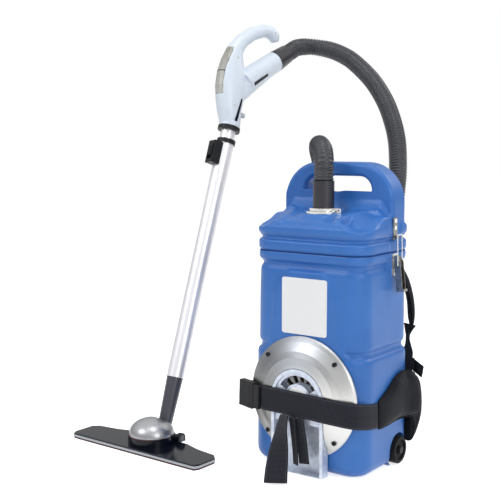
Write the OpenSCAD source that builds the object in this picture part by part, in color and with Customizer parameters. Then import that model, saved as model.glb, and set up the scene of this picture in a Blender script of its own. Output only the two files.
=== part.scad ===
// Backpack vacuum cleaner: rotomoulded tank with harness, hose, telescopic wand and floor nozzle.
// Frame: origin under the middle of the tank, X to the machine's right, -Y its front, Z up.

/* [Tank] */
// Width of the tank across its belly
body_w = 264; // [250:1:300]
// Depth of the tank, front to back
body_d = 212; // [200:1:240]
// Radius of the tank's upright corners
corner_r = 46; // [40:1:60]
// Wall of the tank and the lid
wall = 4; // [3:0.5:6]
// Height of the seam between tank and lid
seam_z = 434; // [420:1:460]
// Height of the step between belly and upper tank
step_z = 240; // [230:1:250]
// How far the upper tank is set in from the belly
upper_inset = 4; // [2:0.5:5]
// How far the front panel stands out from the upper tank
panel_t = 3; // [1.5:0.5:3.5]
// Depth of the moulded grooves
groove = 5; // [3:0.5:6]
// Height of each moulded groove
groove_h = 8; // [6:1:10]
// Height of the rounded bottom edge
foot_h = 26; // [20:1:30]

/* [Lid] */
// Height of the lid's upright band
lid_band = 50; // [44:1:56]
// Height of the lid's sloping shoulder
shoulder_h = 25; // [20:1:30]
// Top of the carrying arch above the floor
arch_top = 611; // [600:1:640]
// Depth of the carrying arch
arch_d = 58; // [48:1:64]
// Middle of the arch behind the tank's middle
arch_y = 43; // [38:1:46]
// Outer corner radius of the arch
arch_r = 80; // [60:1:84]
// Width of the hand opening
hand_w = 154; // [140:1:160]
// Height of the hand opening
hand_h = 38; // [34:1:40]
// Corner radius of the hand opening
hand_r = 28; // [16:1:30]
// Place of the hose inlet behind the tank's middle
inlet_y = -36; // [-44:1:-30]
// Bore of the lid's inlet
inlet_bore = 44; // [42:1:46]
// How far the lid lifts off
lid_lift = 80; // [60:1:90]

/* [Motor] */
// Height of the motor's shaft
motor_z = 150; // [145:1:155]
// Radius of the round motor cover
cover_r = 122; // [114:1:124]
// How far the cover stands off the tank
cover_out = 24; // [20:1:26]
// Pitch radius of the four cover screws
screw_pitch = 110; // [100:1:112]
// Half width of the motor stand
stand_r = 60; // [54:1:64]
// Sheet thickness of stand and cover
sheet = 2; // [1.5:0.5:3]
// Radius of the round cap in the stand
cap_r = 24; // [20:1:26]
// Diameter of the motor shaft
shaft_d = 8; // [6:1:10]

/* [Latches] */
// Place of the latches behind the tank's middle
latch_y = 24; // [22:1:30]
// Width of the lever's channel
lever_w = 15; // [14:1:18]
// Diameter of the bail's wire
wire_d = 2.5; // [2:0.5:3]

/* [Wheels] */
// Diameter of the transport wheels
wheel_d = 56; // [50:1:58]
// Width of a wheel
wheel_w = 22; // [18:1:24]
// Diameter of the wheel axles
axle_d = 8; // [6:1:10]

/* [Harness] */
// Width of the belt webbing
web_w = 50; // [44:1:52]
// Thickness of the webbing
web_t = 2.5; // [2:0.5:3]
// Thickness of the back pad
pad_t = 22; // [16:1:26]
// Thickness of a hip pad
hip_t = 16; // [12:1:18]

/* [Wand] */
// Lean of the wand from upright
lean = 20; // [15:1:25]
// Outer diameter of the outer tube
tube_d = 38; // [36:1:40]
// Wall of both tubes
tube_wall = 1.5; // [1:0.1:1.8]
// Length of the outer tube
tube_l = 547; // [500:1:580]
// Travel of the telescope
travel = 250; // [200:5:260]
// Height of the tube's foot along the wand's axis
neck_l = 125; // [115:1:135]
// Running clearance between parts that slide or turn
gap = 0.3; // [0.2:0.05:0.4]

/* [Nozzle] */
// Length of the floor nozzle
nozzle_l = 362; // [340:1:380]
// Depth of the floor nozzle
nozzle_w = 73; // [70:1:80]
// Height of the nozzle's plate
nozzle_h = 12; // [11:0.5:14]
// Radius of the swivel dome
dome_r = 49; // [44:1:52]
// Height of the swivel dome
dome_h = 35; // [31:1:37]

/* [Hose] */
// Outer diameter of the ribbed hose
hose_d = 41; // [38:1:42]
// Bore of the hose
hose_bore = 29; // [24:1:30]
// Depth of the hose's corrugation
rib_h = 2.5; // [1.5:0.5:3]
// Ribs on the hose's lid side
ribs_low = 66; // [40:1:80]
// Ribs on the hose's grip side
ribs_up = 88; // [60:1:100]

/* [Hidden] */

// ---- tank and lid, worked out from the sections above
upper_w = body_w - 2 * upper_inset;
upper_d = body_d - 2 * upper_inset;
upper_r = corner_r - upper_inset;
rim_h = 24;
gasket_h = 2;
lid_z = seam_z + gasket_h;
band_top = lid_z + lid_band;
deck_top = band_top + shoulder_h;
shoulder_in = 24;
shoulder_mid = 0.55;
lip_h = 12;
arch_w = upper_w;
arch_edge = 6;
sill_h = 34;
hand_z = deck_top + sill_h;
inlet_r = inlet_bore / 2;
flange_r = 37;
flange_h = 4;
collar_r = 29;
collar_h = 10;
pipe_drop = 62;
cuff_r = 21.5;
cuff_top = deck_top + 64;

panel_low = 92;
panel_high = 66;

// ---- motor
front_y = -body_d / 2;
cover_hole = cover_r - 24;
can_r = 56;
can_wall = 3;
can_front = front_y - sheet * 2;
can_back = -36;
casing_r = 70;
casing_back = 14;
bearing_r = 11;
bearing_l = 7;
deck_z = 286;
deck_t = 4;
suction_r = 45;
filter_r = 60;
filter_h = 12;
bag_top = seam_z - 34;
stand_front = front_y - cover_out - 1;
disc_y = stand_front + 3.5;
shelf_z = motor_z - 48;
flange_w = 7;
plate_w = 104;
plate_h = 112;
plate_z = 330.5;

// ---- latches, in the plane across the machine
side_x = upper_w / 2;
lever_pin = [6, seam_z - 10];
lever_half = lever_w / 2;
lever_t = 1.5;
wire_r = wire_d / 2;
keeper_z = seam_z + 29;
pin_r = 1.5;
rivet_z = [seam_z + 49, seam_z + 63];

// ---- wheels
wheel_x = side_x - 1;
wheel_y = 46;
well_x = wheel_x - wheel_w / 2 - 5;
well_r = wheel_d / 2 + 7;
cheek_t = 3;

// ---- wand, in its own frame: +Z up the tube, +Y towards the hook
wand_at = [-342, -138, 20];
grip_yaw = -20;
tube_r = tube_d / 2;
inner_r = tube_r - tube_wall - gap;
neck_plug = 25;
tube_top = neck_l + tube_l;
inner_bottom = tube_top - travel - 120;
ring_z = tube_top + 26;
ring_h = 9;
grip_foot = 9;
grip_z = ring_z + ring_h + grip_foot;
socket_l = 22;
spigot_at = [0, 12, grip_z + 106];
spigot_tilt = 42;
spigot_l = 110;
spigot_r = 25;
cuff_grip_l = 40;
cuff_grip_r = 25;

// ---- nozzle
nozzle_at = [wand_at[0] - 5, -197];
nozzle_yaw = -1.5;
bulge = 21;
dome_at = [wand_at[0] - 4, wand_at[1] - 32];
sole_t = 4;
dome_z = nozzle_h + 16;
trunnion_r = 7;
neck_half = 19;
lug_x = 47;
lug_t = 8;

run = 0.05;
foot_steps = 5;
ledge_h = 8;
ledge_w = 10;
lid_groove = 22;
lip_t = 3;
screw_r = 2;
window_in = 30;
window_out = 47;
ear_y = 4;
ear_t = 1.7;
hook_half = 5.5;
hook_out = 7;
hook_floor = 4;
slack = 6;
lever_l = 67;
lever_in = -3.5;
lever_out = 10;
lever_eye = lever_pin[0] - lever_t - 0.2;
hook_pin = [5, -14.5];
bar_at = [-2.7, 44.8];
bail_l = norm(bar_at - hook_pin);
bail_lean = atan2(hook_pin[0] - bar_at[0], bar_at[1] - hook_pin[1]);
slack_pin = [hook_pin[0] * cos(slack) - hook_pin[1] * sin(slack),
    hook_pin[1] * cos(slack) + hook_pin[0] * sin(slack)];
pad_w = 170;
pad_z = [190, 390];
shoulder_w = 56;
shoulder_t = 12;
hip_off = 18;
slider_d = 17;
slider_l = 52;
button_up = 30;
button_r = 6;
screw_spots = [[-14, 36, 25.5], [-29, 148, 20], [62, 247, 13.5]];
screw_head = 2.2;
bumper_t = 5;
band_h = 4.5;
bore_skip = 4;

// ================================================================ helpers
// A rectangle with true round corners
module round_rect(w, d, r) {
    square([w - 2 * r, d], center = true);
    square([w, d - 2 * r], center = true);
    for (sx = [-1, 1]) {
        for (sy = [-1, 1]) {
            translate([sx * (w / 2 - r), sy * (d / 2 - r)]) circle(r = r, $fn = 64);
        }
    }
}

// A slice of the tank's outline between two heights, drawn in by inset
module slice(z0, z1, inset) {
    translate([0, 0, z0]) linear_extrude(z1 - z0) {
        round_rect(body_w - 2 * inset, body_d - 2 * inset, corner_r - inset);
    }
}

// A cylinder along Y from y0 to y1 about the motor's axis
module shaft_way(y0, y1, r) {
    translate([0, y1, motor_z]) rotate([90, 0, 0]) cylinder(r = r, h = y1 - y0, $fn = 96);
}

// Both sides of the machine, the right one drawn as given
module both_sides() {
    children();
    mirror([1, 0, 0]) children();
}

// The wand's own frame
module wand_frame() {
    translate(wand_at) rotate([-lean, 0, 0]) children();
}

// The grip's frame, turned about the tube
module grip_frame() {
    wand_frame() rotate([0, 0, grip_yaw]) children();
}

function unit(v) = v / norm(v);
function mix(a, b, t) = a + (b - a) * t;
function wave(t) = sin(180 * t);

// A point of the smooth curve through hand-set points
function curve_at(p, i, t) =
    let (a = p[max(i - 1, 0)], b = p[i], c = p[i + 1], d = p[min(i + 2, len(p) - 1)])
    0.5 * ((2 * b) + (c - a) * t + (2 * a - 5 * b + 4 * c - d) * t * t
        + (3 * b - a - 3 * c + d) * t * t * t);
function curve(p, n) = concat([for (i = [0:len(p) - 2]) each [for (k = [0:n - 1]) curve_at(p, i, k / n)]],
    [p[len(p) - 1]]);
// Running length along a list of points
function lengths(p) = [for (i = 0, s = 0; i < len(p); s = s + (i + 1 < len(p) ? norm(p[i + 1] - p[i]) : 0),
    i = i + 1) s];
// The point at length s
function seek(s, l, lo, hi) = hi - lo < 2 ? lo
    : let (m = floor((lo + hi) / 2)) (l[m] > s ? seek(s, l, lo, m) : seek(s, l, m, hi));
function point_at(p, l, s) = let (i = seek(s, l, 0, len(p) - 1))
    mix(p[i], p[i + 1], (s - l[i]) / max(l[i + 1] - l[i], 0.001));
// Directions along a list of points, and a side direction carried along without twist
function ways(p) = [for (i = [0:len(p) - 1]) unit(p[min(i + 1, len(p) - 1)] - p[max(i - 1, 0)])];
function way_at(p, l, s) = unit(point_at(p, l, min(s + 1, l[len(l) - 1])) - point_at(p, l, max(s - 1, 0)));
function square_to(v, t) = unit(v - (v * t) * t);
function sides(t, first) = [for (i = 0, v = square_to(first, t[0]); i < len(t);
    i = i + 1, v = i < len(t) ? square_to(v, t[i]) : v) v];
// Rings of points round a list of centres
function rings(p, r, t, v, n) = [for (i = [0:len(p) - 1]) each [for (k = [0:n - 1])
    let (a = 360 * k / n) p[i] + r[i] * (cos(a) * v[i] + sin(a) * cross(t[i], v[i]))]];
// Triangles between neighbouring rings, outward or inward
function skin(m, n, at, out) = [for (i = [0:m - 2]) each [for (k = [0:n - 1])
    let (a = at + i * n + k, b = at + i * n + (k + 1) % n, c = a + n, d = b + n)
    each (out ? [[a, d, b], [a, c, d]] : [[a, b, d], [a, d, c]])]];
// Flat ring faces that close a pipe's ends
function rim(n, at, bt, out) = [for (k = [0:n - 1])
    let (a = at + k, b = at + (k + 1) % n, c = bt + k, d = bt + (k + 1) % n)
    each (out ? [[a, b, d], [a, d, c]] : [[a, d, b], [a, c, d]])];

// A pipe: outer rings at places s with radii r, and a plain bore
module pipe(p, s, r, s_in, bore, first, n = 8) {
    l = lengths(p);
    po = [for (x = s) point_at(p, l, x)];
    pi = [for (x = s_in) point_at(p, l, x)];
    to = [for (x = s) way_at(p, l, x)];
    ti = [for (x = s_in) way_at(p, l, x)];
    vo = sides(to, first);
    vi = sides(ti, first);
    mo = len(po);
    mi = len(pi);
    polyhedron(
        concat(rings(po, r, to, vo, n), rings(pi, [for (x = s_in) bore], ti, vi, n)),
        concat(skin(mo, n, 0, true), skin(mi, n, mo * n, false),
            rim(n, 0, mo * n, true), rim(n, (mo - 1) * n, (mo + mi - 1) * n, false)), convexity = 8);
}

// A closed loft: rings with half depth and half width about a flat line of centres [y, z]
function loft_points(c, n) = let (q = [for (x = c) [0, x[0], x[1]]], t = ways(q)) [for (i = [0:len(c) - 1])
    each [for (k = [0:n - 1]) let (a = 360 * k / n)
        q[i] + c[i][2] * cos(a) * cross([1, 0, 0], t[i]) + c[i][3] * sin(a) * [1, 0, 0]]];
function fan(n, at, out) = [for (k = [1:n - 2]) out ? [at, at + k, at + k + 1] : [at, at + k + 1, at + k]];
module loft(c, n = 20) {
    polyhedron(loft_points(c, n), concat(skin(len(c), n, 0, true), fan(n, 0, true),
        fan(n, (len(c) - 1) * n, false)), convexity = 6);
}

// A strap: a flat band swept along points, its width along w
module strap(p, w, width, thick) {
    t = ways(p);
    q = [for (i = [0:len(p) - 1]) let (u = square_to(w[min(i, len(w) - 1)], t[i]), v = cross(t[i], u))
        each [p[i] + u * width / 2 + v * thick / 2, p[i] - u * width / 2 + v * thick / 2,
            p[i] - u * width / 2 - v * thick / 2, p[i] + u * width / 2 - v * thick / 2]];
    polyhedron(q, concat(skin(len(p), 4, 0, true), [[0, 1, 2], [0, 2, 3]],
        let (e = len(p) * 4 - 4) [[e, e + 2, e + 1], [e, e + 3, e + 2]]), convexity = 6);
}

// A pad: place(u, v, w) with u and v from 0 to 1 and w from -1 (back) to 1 (front)
module pad(place, nu, nv) {
    m = (nu + 1) * (nv + 1);
    function at(i, j, f) = f * m + i * (nv + 1) + j;
    edge = concat([for (i = [0:nu - 1]) [i, 0]], [for (j = [0:nv - 1]) [nu, j]],
        [for (i = [nu:-1:1]) [i, nv]], [for (j = [nv:-1:1]) [0, j]]);
    polyhedron(
        [for (f = [0, 1]) each [for (i = [0:nu]) each [for (j = [0:nv]) place(i / nu, j / nv, 2 * f - 1)]]],
        concat(
            [for (i = [0:nu - 1]) each [for (j = [0:nv - 1]) each [
                [at(i, j, 1), at(i + 1, j + 1, 1), at(i + 1, j, 1)],
                [at(i, j, 1), at(i, j + 1, 1), at(i + 1, j + 1, 1)],
                [at(i, j, 0), at(i + 1, j, 0), at(i + 1, j + 1, 0)],
                [at(i, j, 0), at(i + 1, j + 1, 0), at(i, j + 1, 0)]]]],
            [for (k = [0:len(edge) - 1]) let (a = edge[k], b = edge[(k + 1) % len(edge)]) each [
                [at(a[0], a[1], 1), at(b[0], b[1], 0), at(a[0], a[1], 0)],
                [at(a[0], a[1], 1), at(b[0], b[1], 1), at(b[0], b[1], 0)]]]), convexity = 6);
}
// How full a pad is at a place: high in the middle, drawn in at its edges
function crown(u, v) = 0.3 + 0.7 * pow(wave(u), 0.4) * pow(wave(v), 0.4);

// ================================================================ tank
rim_groove = seam_z - rim_h - groove_h;
deep_in = upper_inset + groove;

// How far the rounded bottom edge is drawn in at a part of its height
function foot_in(t) = foot_h * (1 - sqrt(1 - pow(1 - t, 2)));
module tank_hollow() {
    slice(wall + 1, foot_h / 2, foot_in(0.1) + wall);
    slice(foot_h / 2, foot_h, foot_in(0.5) + wall);
    slice(foot_h, step_z - wall, wall);
    slice(step_z - wall, step_z + groove_h + wall, deep_in + wall);
    slice(step_z + groove_h + wall, rim_groove - wall, upper_inset + wall);
    slice(rim_groove - wall, rim_groove + groove_h + wall, deep_in + wall);
    slice(rim_groove + groove_h + wall, seam_z + 1, upper_inset + wall);
}
module deck_ledge() {
    difference() {
        slice(deck_z - ledge_h, deck_z, upper_inset + 1);
        slice(deck_z - ledge_h - 1, deck_z + 1, upper_inset + wall + ledge_w);
    }
}
module well_block(extra) {
    both_sides() translate([well_x - extra, wheel_y, wheel_d / 2]) {
        rotate([0, 90, 0]) cylinder(r = well_r + extra, h = body_w, $fn = 96);
        translate([0, -well_r - extra, -wheel_d]) cube([body_w, 2 * (well_r + extra), wheel_d]);
    }
}
// The raised panel between the two grooves, drawn in towards its top
module front_panel() {
    translate([0, front_y + upper_inset + 1, 0]) rotate([90, 0, 0]) linear_extrude(panel_t + 1) {
        polygon([[-panel_low, step_z + groove_h], [panel_low, step_z + groove_h],
            [panel_high, rim_groove - 34], [panel_high - 8, rim_groove - 16],
            [panel_high - 22, rim_groove - 7], [22 - panel_high, rim_groove - 7],
            [8 - panel_high, rim_groove - 16], [-panel_high, rim_groove - 34]]);
    }
}
module tank_shell() {
    color("royalblue") difference() {
        union() {
            for (k = [0:foot_steps - 1]) {
                slice(foot_h * k / foot_steps, foot_h * (k + 1) / foot_steps,
                    foot_in((k + 0.5) / foot_steps));
            }
            slice(foot_h, step_z, 0);
            slice(step_z, step_z + groove_h, deep_in);
            slice(step_z + groove_h, rim_groove, upper_inset);
            slice(rim_groove, rim_groove + groove_h, deep_in);
            slice(rim_groove + groove_h, seam_z, upper_inset);
            front_panel();
        }
        difference() {
            tank_hollow();
            deck_ledge();
            well_block(wall);
        }
        well_block(0);
        shaft_way(front_y - 1, front_y + 20, cover_hole);
        cover_places() shaft_rod(-front_y - 20, -front_y + 1, screw_r + 0.1);
    }
}

// ================================================================ lid
module lid_slices(extra, bottom) {
    slice(bottom, lid_z + lid_groove, upper_inset + extra);
    slice(lid_z + lid_groove - 1, lid_z + lid_groove + groove_h + 1, deep_in + extra);
    slice(lid_z + lid_groove + groove_h, band_top, upper_inset + extra);
}
module shoulder(extra, top) {
    hull() {
        slice(band_top - 1, band_top, upper_inset + extra);
        slice(band_top, band_top + shoulder_h * shoulder_mid, upper_inset + extra + shoulder_in / 3);
        slice(band_top, top, upper_inset + extra + shoulder_in);
    }
}
module arch_outline(e) {
    w = arch_w / 2 - e;
    r = arch_r - e;
    translate([-w, band_top - 10]) square([2 * w, arch_top - arch_r - band_top + 10]);
    translate([r - w, band_top]) square([2 * (w - r), arch_top - e - band_top]);
    for (s = [-1, 1]) {
        translate([s * (w - r), arch_top - arch_r]) circle(r = r, $fn = 96);
    }
}
module hand_outline(e) {
    w = hand_w / 2 + e;
    r = hand_r + e;
    top = hand_z + hand_h + e;
    translate([-w, hand_z - e]) square([2 * w, hand_h - hand_r + e]);
    intersection() {
        translate([-w, hand_z]) square([2 * w, 2 * hand_h]);
        union() {
            translate([r - w, hand_z]) square([2 * (w - r), top - hand_z]);
            for (s = [-1, 1]) {
                translate([s * (w - r), top - r]) circle(r = r, $fn = 64);
            }
        }
    }
}
module arch() {
    for (step = [[0, arch_edge], [arch_edge * 0.35, arch_edge * 0.45], [arch_edge * 0.9, 0]]) {
        translate([0, arch_y + arch_d / 2 - step[1], 0]) rotate([90, 0, 0]) {
            linear_extrude(arch_d - 2 * step[1]) difference() {
                arch_outline(step[0]);
                hand_outline(step[0]);
            }
        }
    }
}
module lid_shell() {
    color("royalblue") {
        difference() {
            union() {
                lid_slices(0, lid_z);
                shoulder(0, deck_top);
                arch();
            }
            slice(lid_z - 1, lid_z + lip_h, upper_inset + wall + gap + lip_t);
            lid_slices(deep_in, lid_z + lip_h - 1);
            shoulder(deep_in, deck_top - wall);
            translate([0, inlet_y, lid_z]) cylinder(r = inlet_r, h = deck_top, $fn = 96);
        }
        difference() {
            slice(lid_z - lip_h, lid_z, upper_inset + wall + gap);
            slice(lid_z - lip_h - 1, lid_z + 1, upper_inset + wall + gap + lip_t);
        }
    }
}
module lid_gasket() {
    color("dimgray") difference() {
        slice(seam_z + gap, lid_z, upper_inset + 0.5);
        slice(seam_z, lid_z + 1, upper_inset + wall + gap);
    }
}
module inlet_flange() {
    color("silver") translate([0, inlet_y, deck_top]) difference() {
        union() {
            cylinder(r = flange_r, h = flange_h, $fn = 96);
            cylinder(r = collar_r, h = collar_h, $fn = 96);
            translate([flange_r - 12, -5, 0]) cube([18, 10, collar_h]);
        }
        translate([0, 0, -1]) cylinder(r = inlet_r, h = collar_h + 2, $fn = 96);
        translate([flange_r + 1, 6, flange_h + 2.5]) rotate([90, 0, 0]) cylinder(r = 1.8, h = 12, $fn = 24);
    }
}
module inlet_pipe() {
    color("gray") translate([0, inlet_y, deck_top - pipe_drop]) difference() {
        union() {
            cylinder(r = inlet_r - 0.2, h = pipe_drop, $fn = 96);
            translate([0, 0, pipe_drop - wall - 3]) cylinder(r = inlet_r + 8, h = 3, $fn = 96);
        }
        translate([0, 0, -1]) cylinder(r = inlet_r - 3, h = pipe_drop + 2, $fn = 96);
    }
}

// ================================================================ inside the tank
module motor_deck() {
    color("dimgray") difference() {
        slice(deck_z, deck_z + deck_t, upper_inset + wall + gap);
        translate([0, 0, deck_z - 1]) cylinder(r = suction_r, h = deck_t + 2, $fn = 96);
    }
}
module filter_disc() {
    color("gainsboro") translate([0, 0, deck_z + deck_t]) cylinder(r = filter_r, h = filter_h, $fn = 96);
}
module dust_bag() {
    low = deck_z + deck_t + filter_h + gap;
    color("tan") hull() {
        slice(low, low + 2, 50);
        slice(low + 20, bag_top - 16, 34);
        slice(bag_top - 2, bag_top, 60);
    }
}
module crescent(depth0, depth1) {
    translate([0, depth1, motor_z]) rotate([90, 0, 0]) linear_extrude(depth1 - depth0) {
        intersection() {
            difference() {
                circle(r = window_out, $fn = 96);
                circle(r = window_in, $fn = 96);
            }
            polygon([[0, 0], [80, 46], [80, 90], [-80, 90], [-80, 46]]);
        }
    }
}
module motor_casing() {
    color("gray") difference() {
        union() {
            shaft_way(can_front, can_back, can_r);
            shaft_way(can_back, casing_back, casing_r);
        }
        shaft_way(can_front + can_wall + 1, can_back + 1, can_r - can_wall);
        shaft_way(can_back + can_wall, casing_back - can_wall, casing_r - can_wall);
        shaft_way(casing_back - can_wall - 1, casing_back + 1, suction_r - 12);
        shaft_way(can_front - 1, can_back + can_wall + 1, bearing_r);
        intersection() {
            crescent(can_front - 1, can_front + can_wall + 3);
            for (a = [-48:24:48]) {
                translate([0, can_front - 5, motor_z]) rotate([0, a, 0]) {
                    translate([-4.5, 0, 0]) cube([9, 20, 80]);
                }
            }
        }
    }
    color("gray") difference() {
        shaft_way(can_back, can_back + can_wall, can_r - can_wall);
        shaft_way(can_back - 1, can_back + can_wall + 1, bearing_r);
    }
}
module fan_rotor() {
    r = casing_r - can_wall - 5;
    y0 = can_back + can_wall + 5;
    y1 = casing_back - can_wall - 5;
    color("peru") {
        shaft_way(can_front + 2, casing_back - 2, shaft_d / 2);
        shaft_way(can_front + 18, can_back - 16, 30);
        shaft_way(can_front + 10, can_front + 17, 14);
        shaft_way(y0, y0 + 2, r);
        shaft_way(y0, y1, 14);
        for (a = [0:45:315]) {
            translate([0, y1, motor_z]) rotate([90, a, 0]) translate([10, -1, 0]) cube([r - 12, 2, y1 - y0]);
        }
    }
}
module motor_bearings() {
    color("silver") for (y = [can_front, can_back - 1]) {
        difference() {
            shaft_way(y, y + bearing_l, bearing_r);
            shaft_way(y - 1, y + bearing_l + 1, shaft_d / 2 + run);
        }
    }
}

// ================================================================ motor cover and stand
module shaft_rod(h0, h1, r) {
    translate([0, 0, h0]) cylinder(r = r, h = h1 - h0, $fn = 32);
}
module cover_places() {
    for (a = [45:90:315]) {
        translate([0, 0, motor_z]) rotate([90, 0, 0]) {
            translate([screw_pitch * cos(a), screw_pitch * sin(a), 0]) children();
        }
    }
}
cover_line = [[0, 0], [0, 0.13], [-3, 0.25], [-10, 0.36], [-18, 0.54], [-28, 0.79], [-40, 0.96], [-54, 1]];
seat_h = cover_out * 0.42;
function cover_points(dr, dh) = [for (p = cover_line)
    [cover_r + p[0] + dr, -front_y + max(p[1] * cover_out + dh, 0)]];
module motor_cover() {
    outer = concat(cover_points(0, 0), [[stand_r + 1, -front_y + cover_out]]);
    inner = concat(cover_points(-sheet, -sheet), [[stand_r + 1, -front_y + cover_out - sheet]]);
    color("silver") difference() {
        union() {
            translate([0, 0, motor_z]) rotate([90, 0, 0]) rotate_extrude($fn = 128) {
                polygon(concat(outer, [for (i = [len(inner) - 1:-1:1]) inner[i]],
                    [[cover_r - sheet, -front_y]]));
            }
            cover_places() shaft_rod(-front_y, -front_y + seat_h, 6);
        }
        cover_places() shaft_rod(-front_y - 1, -front_y + cover_out, screw_r + 0.1);
        cover_places() shaft_rod(-front_y + seat_h, -front_y + cover_out + 1, 6);
        translate([-stand_r - 1, stand_front - 1, motor_z - cover_r - 1]) {
            cube([2 * stand_r + 2, cover_out + 2, cover_r + 1]);
        }
    }
}
module cover_screws() {
    color("dimgray") cover_places() {
        shaft_rod(-front_y - 10, -front_y + seat_h, screw_r);
        difference() {
            shaft_rod(-front_y + seat_h, -front_y + seat_h + 2.5, 4.5);
            translate([-0.6, -3.2, -front_y + seat_h + 1.3]) cube([1.2, 6.4, 2]);
            translate([-3.2, -0.6, -front_y + seat_h + 1.3]) cube([6.4, 1.2, 2]);
        }
    }
}
module stand_outline(e) {
    translate([0, motor_z]) circle(r = stand_r - e, $fn = 128);
    translate([e - stand_r, -e]) square([2 * (stand_r - e), motor_z + e]);
}
module stand_slab(y0, y1) {
    translate([0, y1, 0]) rotate([90, 0, 0]) linear_extrude(y1 - y0) children();
}
module motor_stand() {
    color("lightsteelblue") difference() {
        union() {
            stand_slab(can_front - sheet, can_front) stand_outline(0);
            stand_slab(stand_front, can_front) difference() {
                stand_outline(0);
                stand_outline(sheet);
            }
            stand_slab(stand_front, stand_front + sheet) difference() {
                stand_outline(0);
                stand_outline(flange_w);
            }
            stand_slab(disc_y, disc_y + sheet) intersection() {
                stand_outline(0.5);
                translate([-stand_r, shelf_z]) square([2 * stand_r, 200]);
            }
            translate([0.5 - stand_r, disc_y, shelf_z]) {
                cube([2 * stand_r - 1, can_front - disc_y - 1, sheet]);
            }
            translate([-stand_r, stand_front, 0]) cube([2 * stand_r, can_front - stand_front, sheet]);
            for (s = [-1, 1]) {
                translate([s * 35, front_y, 36]) rotate([90, 0, 0]) {
                    cylinder(r = 6, h = front_y - can_front, $fn = 32);
                }
            }
        }
        crescent(disc_y - 1, can_front + 1);
        for (z = [44, 62]) {
            translate([-stand_r - 1, stand_front + 6, z]) cube([2 * stand_r + 2, 8, 11]);
        }
        for (s = [-1, 1]) {
            translate([s * (stand_r - flange_w) - 1.2, stand_front - 1, 8]) cube([2.4, 4, 26]);
        }
        translate([0, can_front + 1, motor_z]) rotate([90, 0, 0]) {
            cylinder(r = bearing_r + 1, h = sheet + 2, $fn = 48);
        }
    }
}
module stand_cap() {
    color("white") translate([0, disc_y, motor_z]) rotate([90, 0, 0]) {
        cylinder(r = cap_r, h = 2.2, $fn = 96);
        cylinder(r = cap_r - 3, h = 3, $fn = 96);
    }
}
module blank_plate() {
    color("white") translate([0, front_y + upper_inset - panel_t, plate_z]) rotate([90, 0, 0]) {
        linear_extrude(0.8) round_rect(plate_w, plate_h, 5);
    }
}
module power_inlet() {
    color("dimgray") translate([-body_w / 2, 20, 70]) rotate([0, -90, 0]) difference() {
        union() {
            cylinder(r = 13, h = 3, $fn = 48);
            cylinder(r = 9, h = 16, $fn = 48);
        }
        translate([0, 0, 4]) cylinder(r = 4.2, h = 13, $fn = 32);
    }
}

// ================================================================ latches
module latch_frame() {
    translate([side_x, latch_y, 0]) children();
}
module across(r, y0, y1) {
    translate([0, y1, 0]) rotate([90, 0, 0]) cylinder(r = r, h = y1 - y0, $fn = 32);
}
module latch_base() {
    latch_frame() {
        translate([0, -lever_half - 3, rim_groove - 14]) cube([lever_t, lever_w + 6, rim_h + groove_h + 12]);
        for (s = [-1, 1]) {
            translate([0, s * (ear_y + ear_t / 2) - ear_t / 2, lever_pin[1] - 6]) {
                cube([lever_pin[0] + 3, ear_t, 11]);
            }
        }
        translate([lever_pin[0], 0, lever_pin[1]]) across(pin_r, -lever_half, lever_half);
    }
}
module latch_plates() {
    color("silver") both_sides() latch_base();
}
module keeper() {
    latch_frame() {
        translate([0, -lever_half - 0.5, keeper_z - 2]) {
            cube([lever_t, lever_w + 1, rivet_z[1] + 8 - keeper_z]);
        }
        translate([0, hook_half, 0]) rotate([90, 0, 0]) linear_extrude(2 * hook_half) {
            polygon([[0, keeper_z], [hook_out, keeper_z - 2], [hook_out, keeper_z + hook_floor + 0.8],
                [0, keeper_z + hook_floor - 0.2]]);
        }
    }
}
module latch_keepers() {
    color("silver") both_sides() keeper();
}
module latch_rivets() {
    color("silver") both_sides() latch_frame() for (z = rivet_z) {
        translate([lever_t, 0, z]) rotate([0, 90, 0]) {
            cylinder(r = 4.2, h = 1.2, $fn = 32);
            translate([0, 0, 1.2]) intersection() {
                translate([0, 0, -2.4]) sphere(r = 4.4, $fn = 48);
                cylinder(r = 4.2, h = 5, $fn = 32);
            }
        }
    }
}
// The lever, drawn closed about its pin and turned out to its slack rest
module latch_lever() {
    latch_frame() translate([lever_pin[0], 0, lever_pin[1]]) rotate([0, -slack, 0]) difference() {
        union() {
            for (s = [-1, 1]) {
                translate([0, s * (lever_half - lever_t / 2), 0]) {
                    across(lever_eye, -lever_t / 2, lever_t / 2);
                    translate([0, lever_t / 2, 0]) rotate([90, 0, 0]) linear_extrude(lever_t) {
                        polygon([[lever_in, 0], [lever_in, -lever_l + 5], [lever_out, -lever_l + 5],
                            [lever_out, -7.5], lever_eye * [cos(38), sin(38)], [0, 0]]);
                    }
                }
            }
            translate([lever_in, -lever_half, -lever_l + 5]) cube([lever_t, lever_w, lever_l - 27]);
            translate([lever_in, -lever_half, -lever_l]) cube([17, lever_w, 5]);
        }
        across(pin_r + 0.15, -lever_w, lever_w);
        translate([hook_pin[0], 0, hook_pin[1]]) across(wire_r + 0.15, -lever_w, lever_w);
    }
}
module latch_lever_right() {
    color("silver") latch_lever();
}
module latch_lever_left() {
    color("silver") mirror([1, 0, 0]) latch_lever();
}
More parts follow.
